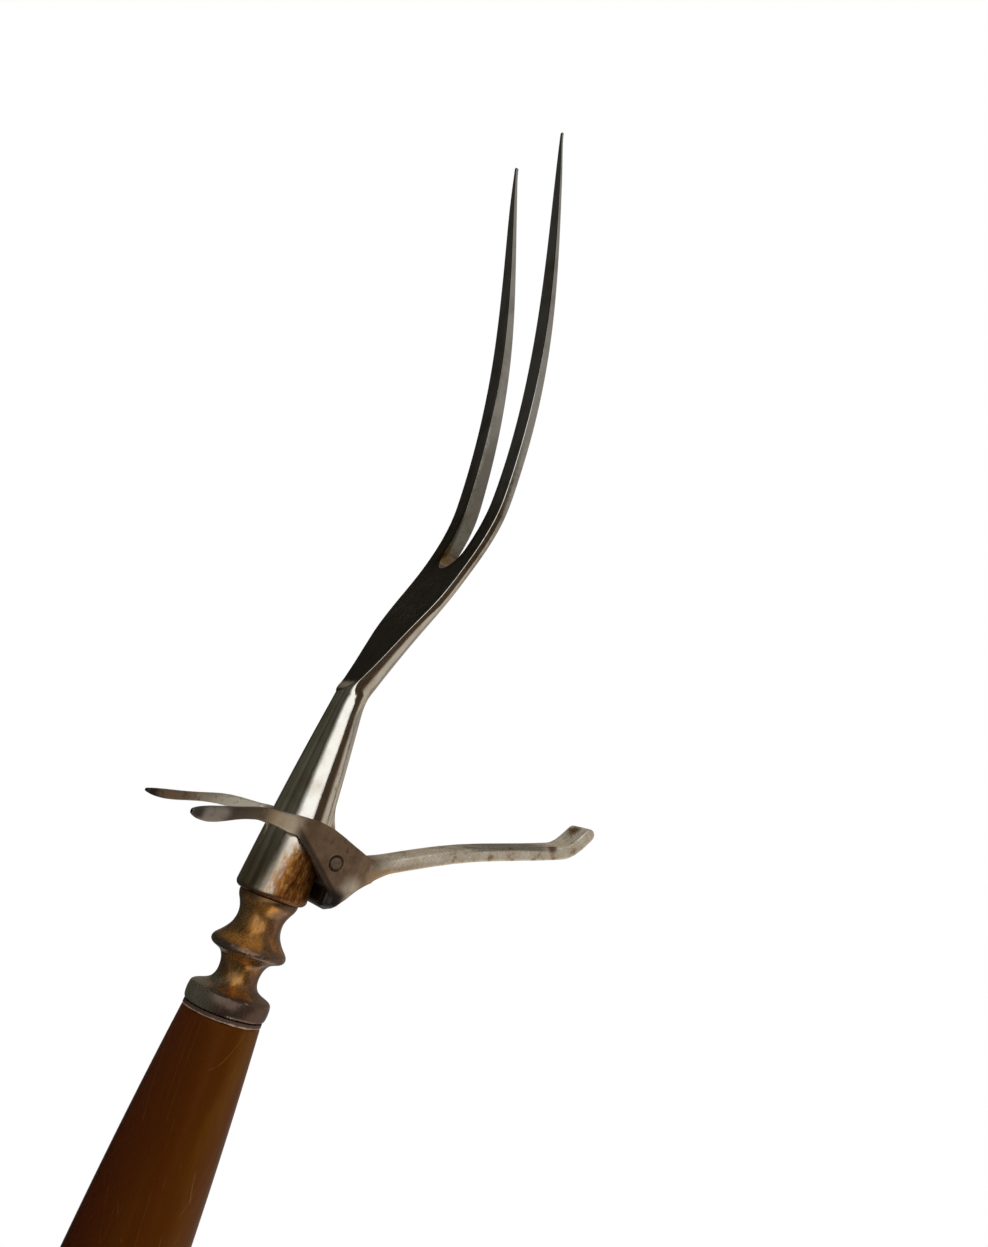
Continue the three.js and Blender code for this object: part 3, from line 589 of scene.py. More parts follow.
def make_head(material):
    """Tines, neck, shank and tang: one half built from its cross-sections, and the same mirrored."""
    places, bends, crotch = head_stations()
    sheet, walls = [], []
    for station, (x, bend) in enumerate(zip(places, bends)):
        on_tine = bend <= math.pi / 2
        wall_y = float(half_gap(x)) if on_tine else CROTCH_RADIUS * math.sin(bend)
        ease = GAP_EDGE_ROUND * (fineness(x) if on_tine else 1)
        inner = wall_y + ease * math.sin(bend) if station >= crotch else 0
        section = head_half_section(x, inner)
        sheet.append(np.insert(section, 0, x, axis=1))
        if station >= crotch:
            shift = 0 if on_tine else -GAP_EDGE_ROUND * math.cos(bend)
            walls.append(gap_wall(x, section, inner, wall_y, shift))
    sheet, walls = np.array(sheet), np.array(walls)
    faces = []

    def skin(first, rows, columns):
        for row in range(rows - 1):
            for column in range(columns - 1):
                a = first + row * columns + column
                faces.append((a, a + 1, a + columns + 1, a + columns))

    rows, columns = sheet.shape[:2]
    skin(0, rows, columns)
    skin(rows * columns, *walls.shape[:2])
    last_wall = rows * columns + (walls.shape[0] - 1) * walls.shape[1]
    tip = [(rows - 1) * columns + i for i in range(columns)]
    faces.append(tuple(tip + [last_wall + i for i in range(1, walls.shape[1] - 1)]))
    faces.append(tuple(range(columns))[::-1])
    half = np.vstack([sheet.reshape(-1, 3), walls.reshape(-1, 3)])
    mirrored = [tuple(len(half) + i for i in reversed(face)) for face in faces]
    made = new_object("fork_head_surface", np.vstack([half, half * (1, -1, 1)]), faces + mirrored)
    dress(made, "fork", "fork_head", material)


# Bolster, handle and cement

def make_bolster(material):
    """The turned bolster: collar, cove, bead, cove and cup round a plain bore."""
    bore = TANG_RADIUS + SEAT_GAP
    height, radius = np.array(BOLSTER_PROFILE).T
    steps = np.linspace(0, len(height) - 1, BOLSTER_STEPS * len(height))
    flow = [smooth_curve(*enumerate(values))(steps) for values in (height, radius)]
    top = BOLSTER_LENGTH + SEAT_GAP / 2
    outline = [(0, bore), *zip(*flow), (top, SHANK_BASE_RADIUS - SHANK_BASE_ROUND), (top, bore)]
    profile = softened(outline) + (BOLSTER_BASE, 0)
    made = loft_object("bolster_surface", turned_rings(profile), "joined")
    dress(made, "fork", "bolster", material)


def make_handle(material):
    """The swelling handle with its bore for the tang."""
    butt, top, swell = -HANDLE_LENGTH, HANDLE_TOP_RADIUS, HANDLE_SWELL_RADIUS
    swell_at = butt + HANDLE_SWELL_FROM_BUTT
    below_top = (swell_at / 3, top + (swell - top) * 2 / 3)
    upper = np.array([(0, top), below_top, (swell_at * 2 / 3, swell), (swell_at, swell)])
    middle = ((swell_at + butt) / 2, swell)
    lower = np.array([(swell_at, swell), middle, (butt, swell), (butt, HANDLE_BUTT_RADIUS)])
    t = np.linspace(0, 1, HANDLE_STEPS)[:, None]
    weights = np.hstack([(1 - t) ** 3, 3 * t * (1 - t) ** 2, 3 * t**2 * (1 - t), t**3])
    bore = TANG_RADIUS + 2 * SEAT_GAP
    outline = [(-TANG_IN_HANDLE, 0), (-TANG_IN_HANDLE, bore), (0, bore)]
    outline += [*(weights @ upper), *(weights @ lower)[1:], (butt, 0)]
    profile = softened(outline, step=HANDLE_SOFTNESS, softness=HANDLE_SOFTNESS)
    profile[[0, -1], 1] = 0
    made = loft_object("handle_surface", turned_rings(profile), "open")
    dress(made, "fork", "handle", material)


def make_cement(material):
    """The cement line at the joint, which was squeezed out unevenly over the handle's edge."""
    low, high = SEAT_GAP, SEAT_GAP + CEMENT_LINE
    bore, rim = TANG_RADIUS + SEAT_GAP, HANDLE_TOP_RADIUS
    bead = [
        (high, bore), (high, rim), (high - CEMENT_ROUND, rim + CEMENT_PROUD[0]),
        (0, rim + CEMENT_PROUD[1]), (0, rim - CEMENT_UNDERCUT[0]),
        (low, rim - CEMENT_UNDERCUT[1]), (low, bore),
    ]
    rings = turned_rings(softened(bead, FINE_STEP, CEMENT_SOFTNESS))
    turn = np.arctan2(rings[..., 2], rings[..., 1])
    uneven = 0.5 + sum(height * np.sin(count * turn + start) for height, count, start in CEMENT_WAVES)
    outside = np.hypot(rings[..., 1], rings[..., 2]) > rim - CEMENT_LIP
    rings[..., 0] -= CEMENT_LAP * uneven * outside * smooth_step(high, 0, rings[..., 0])
    dress(loft_object("cement_line", rings, "joined"), "fork", "handle_cement", material)


# Guard and rivet

def rounded_ring(x, z, half_x, half_y, power):
    """A ring with rounded corners about a point on the middle plane, square to Z."""
    turn = np.linspace(0, 2 * math.pi, RING_SIDES, endpoint=False)
    ring = [np.sign(f(turn)) * np.abs(f(turn)) ** (2 / power) for f in (np.cos, np.sin)]
    return np.stack([x + half_x * ring[0], half_y * ring[1], np.full(RING_SIDES, z)], axis=-1)


def leg_line():
    """The bowed middle line of the leg: place along the axis as a square function of the height."""
    places = fork_places(frame["nodes"]["guard"].data)
    height = places[:, 2] - PIVOT_HEIGHT
    leg = (height > LEG_HEIGHTS[0]) & (height < LEG_HEIGHTS[1])
    return np.polyfit(height[leg], places[leg, 0], 2)


def leg_fillet():
    """A swelling that lets the leg flow out of the cheeks."""
    line = leg_line()
    rings = []
    for t in np.linspace(0, 1, LEG_FILLET_RINGS):
        up = LEG_FILLET_HEIGHT + LEG_FILLET_LENGTH * t
        more = (1 - t) ** 2
        half_x = LEG_HALF_THICKNESS + LEG_FILLET_DEPTH * more
        half_y = LEG_HALF_WIDTH + LEG_FILLET_WIDTH * more
        place = np.polyval(line, up) - LEG_FILLET_DROP * more
        rings.append(rounded_ring(place, PIVOT_HEIGHT + up, half_x, half_y, LEG_FILLET_SQUARENESS))
    return loft_object("leg_fillet", rings, "closed")


def heel_fill():
    """A block that fills the heel out to the cheeks."""
    middle, half = PIVOT + sum(HEEL_ALONG) / 2, (HEEL_ALONG[1] - HEEL_ALONG[0]) / 2
    height, half_height = PIVOT_HEIGHT + sum(HEEL_BACK) / 2, (HEEL_BACK[1] - HEEL_BACK[0]) / 2
    rings = []
    for t in np.linspace(-1, 1, HEEL_RINGS):
        half_x = half - HEEL_ROUND * abs(t) ** 4
        rings.append(rounded_ring(middle, height + half_height * t, half_x, HEEL_HALF_WIDTH, HEEL_SQUARENESS))
    return loft_object("heel_fill", rings, "closed")


def shape_horns(mesh):
    """Rounded pads on the horns, worked about the middle of each horn at every height."""
    x, y, z = (read_rows(mesh.vertices, "co") / MM).T.astype(float)
    horn = z < HORN_HEIGHT
    middle_x = np.polyval(np.polyfit(z[horn], x[horn], HORN_LINE_DEGREE), z)
    middle_y = np.polyval(np.polyfit(z[horn], np.abs(y[horn]), HORN_LINE_DEGREE), z) * np.sign(y)
    slim = FAR_HORN_WIDTH + (1 - FAR_HORN_WIDTH) * smooth_step(FAR_HORN_SLIM_HEIGHT, HORN_HEIGHT, z)
    width = smooth_curve(*HORN_WIDTHS)(z) * np.where(y < 0, slim, 1)
    x = np.where(horn, middle_x + (x - middle_x) * width, x)
    y = np.where(horn, middle_y + (y - middle_y) * smooth_curve(*HORN_DEPTHS)(z), y)
    mesh.vertices.foreach_set("co", (np.stack([x, y, z], axis=-1) * MM).astype(np.float32).ravel())
    mesh.update()


def make_guard(material):
    """The forged guard: its solid with the leg's root and heel filled out and the edges worn round."""
    work = bmesh.new()
    work.from_mesh(frame["nodes"]["guard"].data)
    for fill in (leg_fillet(), heel_fill()):
        work.from_mesh(fill.data)
        bpy.data.objects.remove(fill)
    mesh = bpy.data.meshes.new("guard_surface")
    work.to_mesh(mesh)
    work.free()
    made = linked("guard_surface", mesh)
    remesh = made.modifiers.new("even", "REMESH")
    remesh.mode = "VOXEL"
    remesh.voxel_size = GUARD_VOXEL * MM
    worn = made.modifiers.new("worn", "SMOOTH")
    worn.factor = GUARD_SMOOTHING_FACTOR
    worn.iterations = GUARD_SMOOTHING
    bake_modifiers(made)
    shape_horns(made.data)
    dress(made, "guard", "guard", material, GUARD_RIDGE_SMOOTHING)


def make_rivet(material):
    """The rivet, with a slightly crowned peened end on each cheek."""
    end = CHEEK_HALF_WIDTH + RIVET_PROUD
    half = [
        (-end - RIVET_CROWN, 0),
        (-end - 0.6 * RIVET_CROWN, 0.7 * RIVET_HEAD_RADIUS),
        (-end + RIVET_CROWN, RIVET_HEAD_RADIUS),
        (-CHEEK_HALF_WIDTH, RIVET_HEAD_RADIUS),
        (RIVET_HEAD_DEPTH - CHEEK_HALF_WIDTH, RIVET_RADIUS),
    ]
    outline = half + [(-place, radius) for place, radius in reversed(half)]
    profile = softened(outline, FINE_STEP, RIVET_SOFTNESS)
    profile[[0, -1], 1] = 0
    across_fork = turned_rings(profile, RIVET_SIDES)[..., [1, 0, 2]]
    made = loft_object("rivet_surface", across_fork + (PIVOT, 0, PIVOT_HEIGHT), "open")
    dress(made, "fork", "guard_rivet", material)


# Materials

class Nodes:
    """The node tree of a material or a world, begun afresh, whose nodes are joined by short calls."""

    def __init__(self, owner):
        owner.use_nodes = True
        self.tree = owner.node_tree
        self.tree.nodes.clear()

    def node(self, kind, inputs=None, **settings):
        made = self.tree.nodes.new(kind)
        for key, value in settings.items():
            setattr(made, key, value)
        for key, value in (inputs or {}).items():
            if isinstance(value, bpy.types.NodeSocket):
                self.tree.links.new(value, made.inputs[key])
            else:
                made.inputs[key].default_value = value
        return made

    def math(self, operation, a, b=0.0):
        return self.node("ShaderNodeMath", {0: a, 1: b}, operation=operation).outputs[0]


class Shader(Nodes):
    """A procedural material whose colour is laid in coats."""

    def __init__(self, name):
        self.material = bpy.data.materials.new(name)
        super().__init__(self.material)
        self.place = self.node("ShaderNodeAttribute", attribute_name="fork_mm").outputs["Vector"]
        self.ridge = self.node("ShaderNodeAttribute", attribute_name="ridge").outputs["Fac"]
        self.along, self.across, self.back = self.split(self.place)
        self.color = None

    def add(self, *terms):
        total = terms[0]
        for term in terms[1:]:
            total = self.math("ADD", total, term)
        return total

    def both(self, *shares):
        product = shares[0]
        for share in shares[1:]:
            product = self.math("MULTIPLY", product, share)
        return product

    def hypot(self, a, b):
        return self.math("SQRT", self.add(self.math("POWER", a, 2), self.math("POWER", b, 2)))

    def split(self, vector):
        parts = self.node("ShaderNodeSeparateXYZ", {0: vector})
        return parts.outputs[0], parts.outputs[1], parts.outputs[2]

    def scaled(self, vector, scale):
        return self.node("ShaderNodeVectorMath", {0: vector, 1: scale}, operation="MULTIPLY").outputs[0]

    def stretched(self, scale, turn):
        turned = self.node("ShaderNodeVectorRotate", {"Vector": self.place, "Rotation": turn},
                           rotation_type="EULER_XYZ").outputs[0]
        return self.scaled(turned, scale)

    def noise(self, scale, detail=4.0, rough=0.55, vector=None):
        return self.node("ShaderNodeTexNoise", {
            "Vector": vector or self.place, "Scale": scale, "Detail": detail, "Roughness": rough,
        }).outputs["Fac"]

    def streaks(self, scale, detail=4.0, rough=0.55, turn=(0, 0, 0)):
        """Noise with its own scale along each of the fork's axes."""
        return self.noise(1.0, detail, rough, self.stretched(scale, turn))

    def rise(self, value, low, high, bottom=0.0, top=1.0):
        return self.node("ShaderNodeMapRange", {
            "Value": value, "From Min": low, "From Max": high, "To Min": bottom, "To Max": top,
        }, interpolation_type="SMOOTHSTEP").outputs[0]

    def band(self, value, start, full, fade, end):
        """0 outside start and end, and 1 between full and fade."""
        return self.both(self.rise(value, start, full), self.rise(value, end, fade))

    def near(self, point, full, none):
        """1 within one distance of a point, falling to 0 at another."""
        away = self.node("ShaderNodeVectorMath", {0: self.place, 1: point}, operation="DISTANCE")
        return self.rise(away.outputs["Value"], full, none, 1.0, 0.0)

    def radius(self):
        return self.hypot(self.across, self.back)

    def facing(self, turn):
        """1 on the side of the axis at an angle from the near side towards the back, -1 opposite it."""
        toward = self.add(self.both(self.across, math.cos(turn)), self.both(self.back, math.sin(turn)))
        return self.math("DIVIDE", toward, self.math("MAXIMUM", self.radius(), 0.01))

    def scratches(self, turn, spacing):
        """1 on short straight scratches that lie in planes turned by three angles."""
        bands = self.node("ShaderNodeTexWave", {
            "Vector": self.stretched((1, 1, 1), turn), "Scale": spacing, "Distortion": 0.0,
        }, bands_direction="Y").outputs["Fac"]
        breaks = self.streaks((0.07, 0.3, 0.3), detail=2, turn=turn)
        return self.both(self.rise(bands, 0.9985, 0.9998), self.rise(breaks, 0.56, 0.62))

    def bump(self, height, strength, distance, under=None):
        inputs = {"Height": height, "Strength": strength, "Distance": distance * MM}
        if under:
            inputs["Normal"] = under
        return self.node("ShaderNodeBump", inputs).outputs[0]

    def mix(self, share, a, b):
        made = self.node("ShaderNodeMix", {"Factor": share}, data_type="RGBA")
        for key, value in (("A", a), ("B", b)):
            socket = next(s for s in made.inputs if s.name == key and s.type == "RGBA")
            if isinstance(value, bpy.types.NodeSocket):
                self.tree.links.new(value, socket)
            else:
                socket.default_value = (*value, 1)
        return next(s for s in made.outputs if s.type == "RGBA")

    def ramp(self, value, *stops):
        """A colour that passes smoothly through (value, colour) stops."""
        color = stops[0][1]
        for (low, _), (high, after) in zip(stops, stops[1:]):
            color = self.mix(self.rise(value, low, high), color, after)
        return color

    def coat(self, color, *shares):
        """Lays a colour over what is there, as far as all of the shares let it."""
        self.color = self.mix(self.both(*shares), self.color, color)

    def show(self, surface):
        self.node("ShaderNodeOutputMaterial", {"Surface": surface})
        return self.material

    def glow(self):
        """A material that shows its colour as it is."""
        return self.show(self.node("ShaderNodeEmission", {"Color": self.color}).outputs[0])

    def finish(self, roughness, normal, metallic, **settings):
        return self.show(self.node("ShaderNodeBsdfPrincipled", {
            "Base Color": self.color, "Roughness": roughness, "Normal": normal, "Metallic": metallic,
            **settings,
        }).outputs[0])


def plated_steel():
    """Polished plating, a little tarnished, worn through to copper where the guard rubs the shank."""
    s = Shader("plated_steel")
    cloud = s.noise(0.22, detail=5)
    mottle = s.noise(0.8, detail=6, rough=0.65)
    streak = s.streaks((0.12, 1.6, 1.6), detail=6, rough=0.65)
    scratch = s.streaks((0.3, 8, 8), detail=3, rough=0.7)
    speck = s.streaks((0.45, 1.5, 1.5), detail=6, rough=0.7)
    flake = s.streaks((0.6, 1.5, 1.5), detail=7, rough=0.7)
    s.color = s.mix(s.rise(cloud, 0.42, 0.75), (0.82, 0.8, 0.76), (0.6, 0.555, 0.48))
    s.coat((0.26, 0.17, 0.085), s.rise(speck, 0.54, 0.66), s.rise(s.facing(1.0), 0.7, 0.95),
           s.rise(s.along, SHANK_END + 2, SHANK_END - 6), 0.8)

    # Copper on the lower shank
    low = s.rise(s.along, SHANK_BASE + 3, SHANK_BASE + 13, 1.0, 0.0)
    side = s.rise(s.add(s.facing(0.75), s.both(low, 0.3), s.both(flake, 0.9)), 1.0, 1.3)
    rim = s.rise(s.add(s.along, flake), SHANK_BASE + 0.6, SHANK_BASE + 2, 0.8, 0.0)
    worn = s.math("MAXIMUM", s.both(s.rise(low, 0.1, 0.5), side), rim)
    copper = s.ramp(
        flake, (0.36, (0.1, 0.038, 0.013)), (0.5, (0.32, 0.12, 0.026)), (0.62, (0.54, 0.3, 0.1)))
    s.coat((0.42, 0.34, 0.25), low, s.rise(streak, 0.3, 0.6, 0.6, 0.95))
    s.coat(s.mix(rim, copper, (0.15, 0.065, 0.028)), worn)

    # Tarnish round the crotch and on the walls of the gap
    s.coat((0.36, 0.25, 0.14), s.band(s.along, CROTCH - 2, CROTCH + 3, CROTCH + 12, CROTCH + 30),
           s.rise(mottle, 0.48, 0.62), 0.5)
    s.coat((0.29, 0.26, 0.2), s.band(s.along, CROTCH, CROTCH + 3, CROTCH + 20, CROTCH + 42),
           s.rise(s.math("ABSOLUTE", s.across), *GAP_WALL), 0.7)
    s.coat((0.36, 0.2, 0.065), s.near(CROTCH_STAIN, 0.6, 3.6), s.rise(mottle, 0.3, 0.55, 0.4, 0.9))

    edge = s.rise(s.ridge, 0.12, 0.4)
    s.coat((0.9, 0.87, 0.8), edge)
    rough = s.add(s.rise(streak, 0.2, 0.8, 0.05, 0.15), s.both(worn, 0.38), s.both(edge, 0.25))
    relief = s.bump(scratch, 0.12, 0.03, s.bump(streak, 0.2, 0.06))
    return s.finish(rough, s.bump(cloud, 0.15, 0.3, relief), 1.0)


def bronze():
    """Turned bronze, golden where it is rubbed, brown and grey where it has tarnished, with painted
    highlights, glints and shade.
    """
    s = Shader("bronze")
    height = s.math("SUBTRACT", s.along, BOLSTER_BASE)
    patch = s.streaks((0.28, 0.55, 0.55))
    streak = s.streaks((0.4, 2.4, 2.4), detail=5, rough=0.65)
    fine = s.noise(5.0, detail=4, rough=0.7)
    s.color = s.ramp(
        patch, (0.36, (0.11, 0.055, 0.022)), (0.5, (0.3, 0.135, 0.036)), (0.64, (0.62, 0.25, 0.042)))
    # Painted highlight: warmer and lighter on the side turned towards the camera
    s.coat((0.72, 0.35, 0.09), s.rise(s.facing(-0.45), 0.5, 0.95, 0.0, 0.22))
    s.coat((0.56, 0.4, 0.18), s.rise(streak, 0.52, 0.72, 0.0, 0.55))
    s.coat((0.085, 0.05, 0.03), s.rise(streak, 0.46, 0.26, 0.0, 0.6))

    # The rims, the golden top of the bead, rubbed and with a painted highlight on its front, and the dark
    # collar
    s.coat((0.12, 0.08, 0.06), s.rise(s.radius(), 5.3, 6.1), s.rise(patch, 0.7, 0.35, 0.7, 1.0))
    # Rubbed gold and a painted highlight on the front of the bead's top
    s.coat((0.95, 0.42, 0.085), s.band(height, 10, 10.9, 11, 12.5), s.rise(s.facing(-1.2), 0.2, 0.8),
           s.rise(streak, 0.3, 0.5, 0.3, 0.9))
    s.coat((0.09, 0.058, 0.044), s.rise(height, 3.2, 2.6), 0.55)

    # Painted shade towards the back and the far side, and grey at the foot, tarnish with a painted soft
    # highlight
    # Painted shade on the side towards the back
    s.coat((0.16, 0.09, 0.07), s.rise(s.facing(0.9), 0.45, 0.95), s.rise(patch, 0.6, 0.4, 0.35, 0.8))
    # Painted shade on the far front side
    s.coat((0.12, 0.105, 0.075), s.rise(s.facing(-2.05), 0.3, 0.95), 0.7)
    # Grey on the front of the collar's top: tarnish and a painted soft highlight
    s.coat((0.31, 0.28, 0.215), s.rise(s.facing(-1.6), 0.35, 0.95), s.rise(s.along, 6.5, 4.5), 0.7)

    # The seam under the shank, and painted glints: highlights on the turned edges
    s.coat((0.12, 0.065, 0.035), s.rise(s.along, SHANK_BASE - 1.6, SHANK_BASE - 0.4, 0.0, 0.85))
    # Painted glints: highlights on the turned edges of the side turned to the camera
    s.coat((0.7, 0.6, 0.52), s.rise(s.ridge, 0.015, 0.05),
           s.rise(s.noise(1.8, detail=3, rough=0.6), 0.52, 0.7), s.rise(s.facing(-0.35), 0.8, 0.97),
           s.rise(s.along, SHANK_BASE - 3, SHANK_BASE - 4))
    rough = s.rise(streak, 0.2, 0.8, 0.16, 0.36)
    relief = s.bump(fine, 0.08, 0.05, s.bump(streak, 0.25, 0.07))
    return s.finish(rough, s.bump(patch, 0.25, 0.25, relief), 0.75)


def forged_steel(name, shade):
    """Worn forging, dull brown-grey on the cheeks and silvery on the leg and horns."""
    s = Shader(name)
    height = s.math("SUBTRACT", s.back, PIVOT_HEIGHT)
    patch = s.noise(0.35, detail=6, rough=0.6)
    fine = s.noise(2.4, detail=5, rough=0.6)
    uneven = s.add(s.back, s.both(patch, 6))
    dull = s.ramp(patch, (0.32, (0.14 * shade, 0.08 * shade, 0.042 * shade)),
                  (0.68, (0.21 * shade, 0.128 * shade, 0.074 * shade)))
    silvery = s.ramp(
        patch, (0.3, (0.84, 0.77, 0.64)), (0.52, (0.7, 0.6, 0.46)), (0.68, (0.36, 0.24, 0.13)))
    leg = s.rise(uneven, PIVOT_HEIGHT + 9, PIVOT_HEIGHT + 15)
    s.color = s.mix(leg, dull, silvery)

    # Horns, with their dark tips; a painted highlight near the near horn's tip, and the far horn lighter,
    # partly painted light
    near = s.ramp(uneven, (-14.5, (0.25, 0.215, 0.18)), (-12, (0.075, 0.05, 0.038)),
                  (-8, (0.1, 0.068, 0.046)), (-3, (0.36, 0.255, 0.15)))
    far = s.ramp(uneven, (-14, (0.3, 0.2, 0.125)), (-10, (0.5, 0.41, 0.3)), (-6, (0.75, 0.68, 0.55)))
    horns = s.rise(uneven, PIVOT_HEIGHT - 4, PIVOT_HEIGHT - 9)
    s.coat(s.mix(s.rise(s.across, -1, 1), far, near), horns)
    s.coat((0.03, 0.022, 0.018), s.rise(s.back, *HORN_TIP_HEIGHTS), 0.85)

    # Copper, soot and bare patches
    s.coat((0.36, 0.2, 0.09), s.rise(s.noise(0.7, detail=3), 0.6, 0.7), s.math("MAXIMUM", leg, horns), 0.4)
    s.coat((0.05, 0.03, 0.02), s.rise(s.noise(0.9, detail=6, rough=0.65), 0.52, 0.7),
           s.math("SUBTRACT", 1.0, leg), 0.55)
    for point, reach in BARE_PATCHES:
        s.coat((0.5, 0.42, 0.32), s.near(point, 1.0, reach), s.rise(patch, 0.3, 0.6, 0.4, 0.9))

    # The leg: golden on one side of its middle line, a tint with painted shading, and painted shade on the
    # other side towards the curl, with rust near the curl
    bow, lean, root = leg_line()
    middle = s.add(s.both(s.add(s.both(height, bow), lean), height), root)
    aside = s.math("SUBTRACT", s.along, middle)
    # Golden tint with painted shading on the leg's lower side
    s.coat((0.4, 0.23, 0.09), s.rise(aside, 0.4, -0.9), s.rise(s.back, 12, 15), s.rise(uneven, 30, 20), 0.65)
    # Painted shade on the leg's upper face towards the curl
    s.coat((0.06, 0.055, 0.045), s.rise(aside, 0.55, 0.95), s.rise(uneven, 28, 38), s.rise(s.back, 48, 44),
           0.75)
    for point, reach in RUST_SPOTS:
        s.coat((0.13, 0.06, 0.022), s.near(point, 0.4, reach), s.rise(fine, 0.3, 0.5, 0.6, 0.95))

    # Edges lightened, rubbed and with a painted highlight; the gap round the rivet; painted shade along the
    # cheeks' edges; and the heel, near black with tarnish and painted shade
    # Painted highlight on the edges, which also stands for rubbing
    s.coat((0.72, 0.62, 0.5), s.rise(s.ridge, 0.05, 0.16, 0.0, 0.6))
    ring = s.math("SUBTRACT", s.hypot(s.math("SUBTRACT", s.along, PIVOT), height), RIVET_HEAD_RADIUS)
    s.coat((0.022, 0.017, 0.013), s.band(ring, -0.4, -0.15, 0.1, 0.3), s.rise(fine, 0.3, 0.55, 0.75, 0.97))
    # Painted shade along the cheeks' lower edges, beside the shank
    low = s.add(s.along, s.both(s.back, CHEEK_SHADE_SLOPE))
    s.coat((0.03, 0.02, 0.013), s.rise(low, *CHEEK_SHADE_PLACES),
           s.band(s.back, -4, -1, PIVOT_HEIGHT + 1, PIVOT_HEIGHT + 3), 0.8)
    # The heel painted near black: tarnish and painted shade
    s.coat((0.014, 0.01, 0.008), s.rise(s.along, PIVOT - 3.2, PIVOT - 4.8),
           s.band(height, -3, -1, 2.8, 4.5), 0.95)
    rough = s.math("SUBTRACT", s.rise(fine, 0.2, 0.8, 0.3, 0.48), s.both(leg, 0.1))
    return s.finish(rough, s.bump(fine, 0.25, 0.05, s.bump(patch, 0.3, 0.3)), 0.5)


def amber_resin():
    """Dark amber resin, painted darker and redder on one side and lighter olive-golden on the other for the
    light through it, glossy with fine scratches.
    """
    s = Shader("amber_resin")
    # Painted light: lighter and olive-golden on the side this faces, darker and redder on the other
    olive = s.facing(1.08)
    vein = s.streaks((0.03, 0.16, 0.16))
    scratch = s.streaks((0.25, 5, 5), detail=3, rough=0.7)
    s.color = s.ramp(
        olive, (-0.9, (0.068, 0.0145, 0.003)), (0.1, (0.075, 0.0172, 0.0018)), (0.9, (0.083, 0.0215, 0.0012)))
    golden = s.rise(olive, -0.7, 0.3)
    s.coat((0.12, 0.042, 0.003), golden, s.rise(vein, 0.45, 0.7, 0.0, 0.6))
    # More painted light on that side towards the butt
    s.coat((0.085, 0.02, 0.001), golden, s.rise(s.along, -12, -28, 0.0, 0.3))
    nick = s.math("MAXIMUM", s.scratches((0.35, 0.25, 0.3), 0.23), s.scratches((-0.5, 0.4, 0.12), 0.31))
    s.coat((0.36, 0.2, 0.06), nick, 0.35)
    rough = s.add(s.rise(scratch, 0.3, 0.8, 0.2, 0.36), s.both(nick, 0.15))
    return s.finish(rough, s.bump(scratch, 0.06, 0.05), 0.0, **{
        "Specular IOR Level": 0.13, "Specular Tint": (1, 0.6, 0.2, 1)})


def pale_cement():
    """Aged cement, pale and slightly pink, and stained dark next to the bolster."""
    s = Shader("pale_cement")
    grit = s.noise(0.9, detail=6, rough=0.65)
    s.color = s.ramp(grit, (0.35, (0.4, 0.28, 0.2)), (0.6, (0.22, 0.13, 0.08)), (0.75, (0.1, 0.045, 0.02)))
    s.coat((0.06, 0.022, 0.011), s.rise(s.add(s.along, s.both(grit, 0.3)), 0.2, 0.34, 0.0, 0.93))
    return s.finish(0.6, s.bump(grit, 0.5, 0.1), 0.0)


# Stage

def bearing(s, x, y):
    """How far ahead a place on a screen lies, as the camera's mirror image across the fork sees it."""
    return s.math("DIVIDE", s.math("SUBTRACT", x, MIRROR_EYE.x), s.math("SUBTRACT", y, MIRROR_EYE.y))


def window(s, ahead):
    """1 in the stretch of a screen that shows in the shank and the bolster."""
    return s.band(ahead, -0.21, -0.17, 0.38, 0.46)


def table_screen():
    """The dark table that polished metal reflects, with painted shade under the shank and a window of light
    beside the shank.
    """
    s = Shader("table_screen")
    spot = s.node("ShaderNodeNewGeometry").outputs["Position"]
    x, y, _ = s.split(spot)
    ripple = s.noise(1.0, detail=4, vector=s.scaled(spot, (12, 120, 1)))
    olive = s.ramp(ripple, (0.35, (0.038, 0.035, 0.024)), (0.65, (0.085, 0.08, 0.06)))
    # Painted shade on the reflected table under the shank
    shade_under_shank = s.both(s.rise(y, -0.11, -0.03), s.band(x, -0.06, -0.03, 0.035, 0.06))
    s.color = s.mix(shade_under_shank, (0.014, 0.012, 0.009), olive)
    s.coat((0.034, 0.033, 0.029), s.rise(x, 0.07, 0.1), s.band(y, -0.12, -0.03, -0.005, 0.012))
    beside = s.math("SUBTRACT", y, s.rise(x, -0.01, 0.008, 0.0, 0.014))
    s.coat(WINDOW_LIGHT, s.rise(beside, 0.004, 0.03), window(s, bearing(s, x, y)))
    return s.glow()


def tent_screen():
    """The brown and pale sides that polished metal reflects, by the angle above the table."""
    s = Shader("tent_screen")
    x, y, z = s.split(s.node("ShaderNodeNewGeometry").outputs["Position"])
    turn = s.math("ARCTAN2", z, y)
    ahead = bearing(s, x, y)
    edge, brown, umber, pale = (0.2, 0.17, 0.13), (0.05, 0.034, 0.018), (0.06, 0.04, 0.024), (0.5, 0.44, 0.36)
    shown = s.add(turn, s.rise(ahead, -0.2, -0.4, 0.0, 0.35))
    s.color = s.ramp(shown, (0.0, edge), (0.35, brown), (0.98, umber), (1.25, pale), (1.9, pale), (2.6, edge))
    high = s.both(s.rise(ahead, 0.3, 0.42), s.rise(turn, 0.2, 0.45))
    s.coat((0.25, 0.24, 0.22), s.math("MAXIMUM", high, s.rise(ahead, 0.4, 0.55)))
    height = s.math("SUBTRACT", turn, s.rise(ahead, -0.02, 0.1, 0.0, 0.2))
    s.coat(WINDOW_LIGHT, s.rise(height, 0.22, 0.1), window(s, ahead))
    return s.glow()


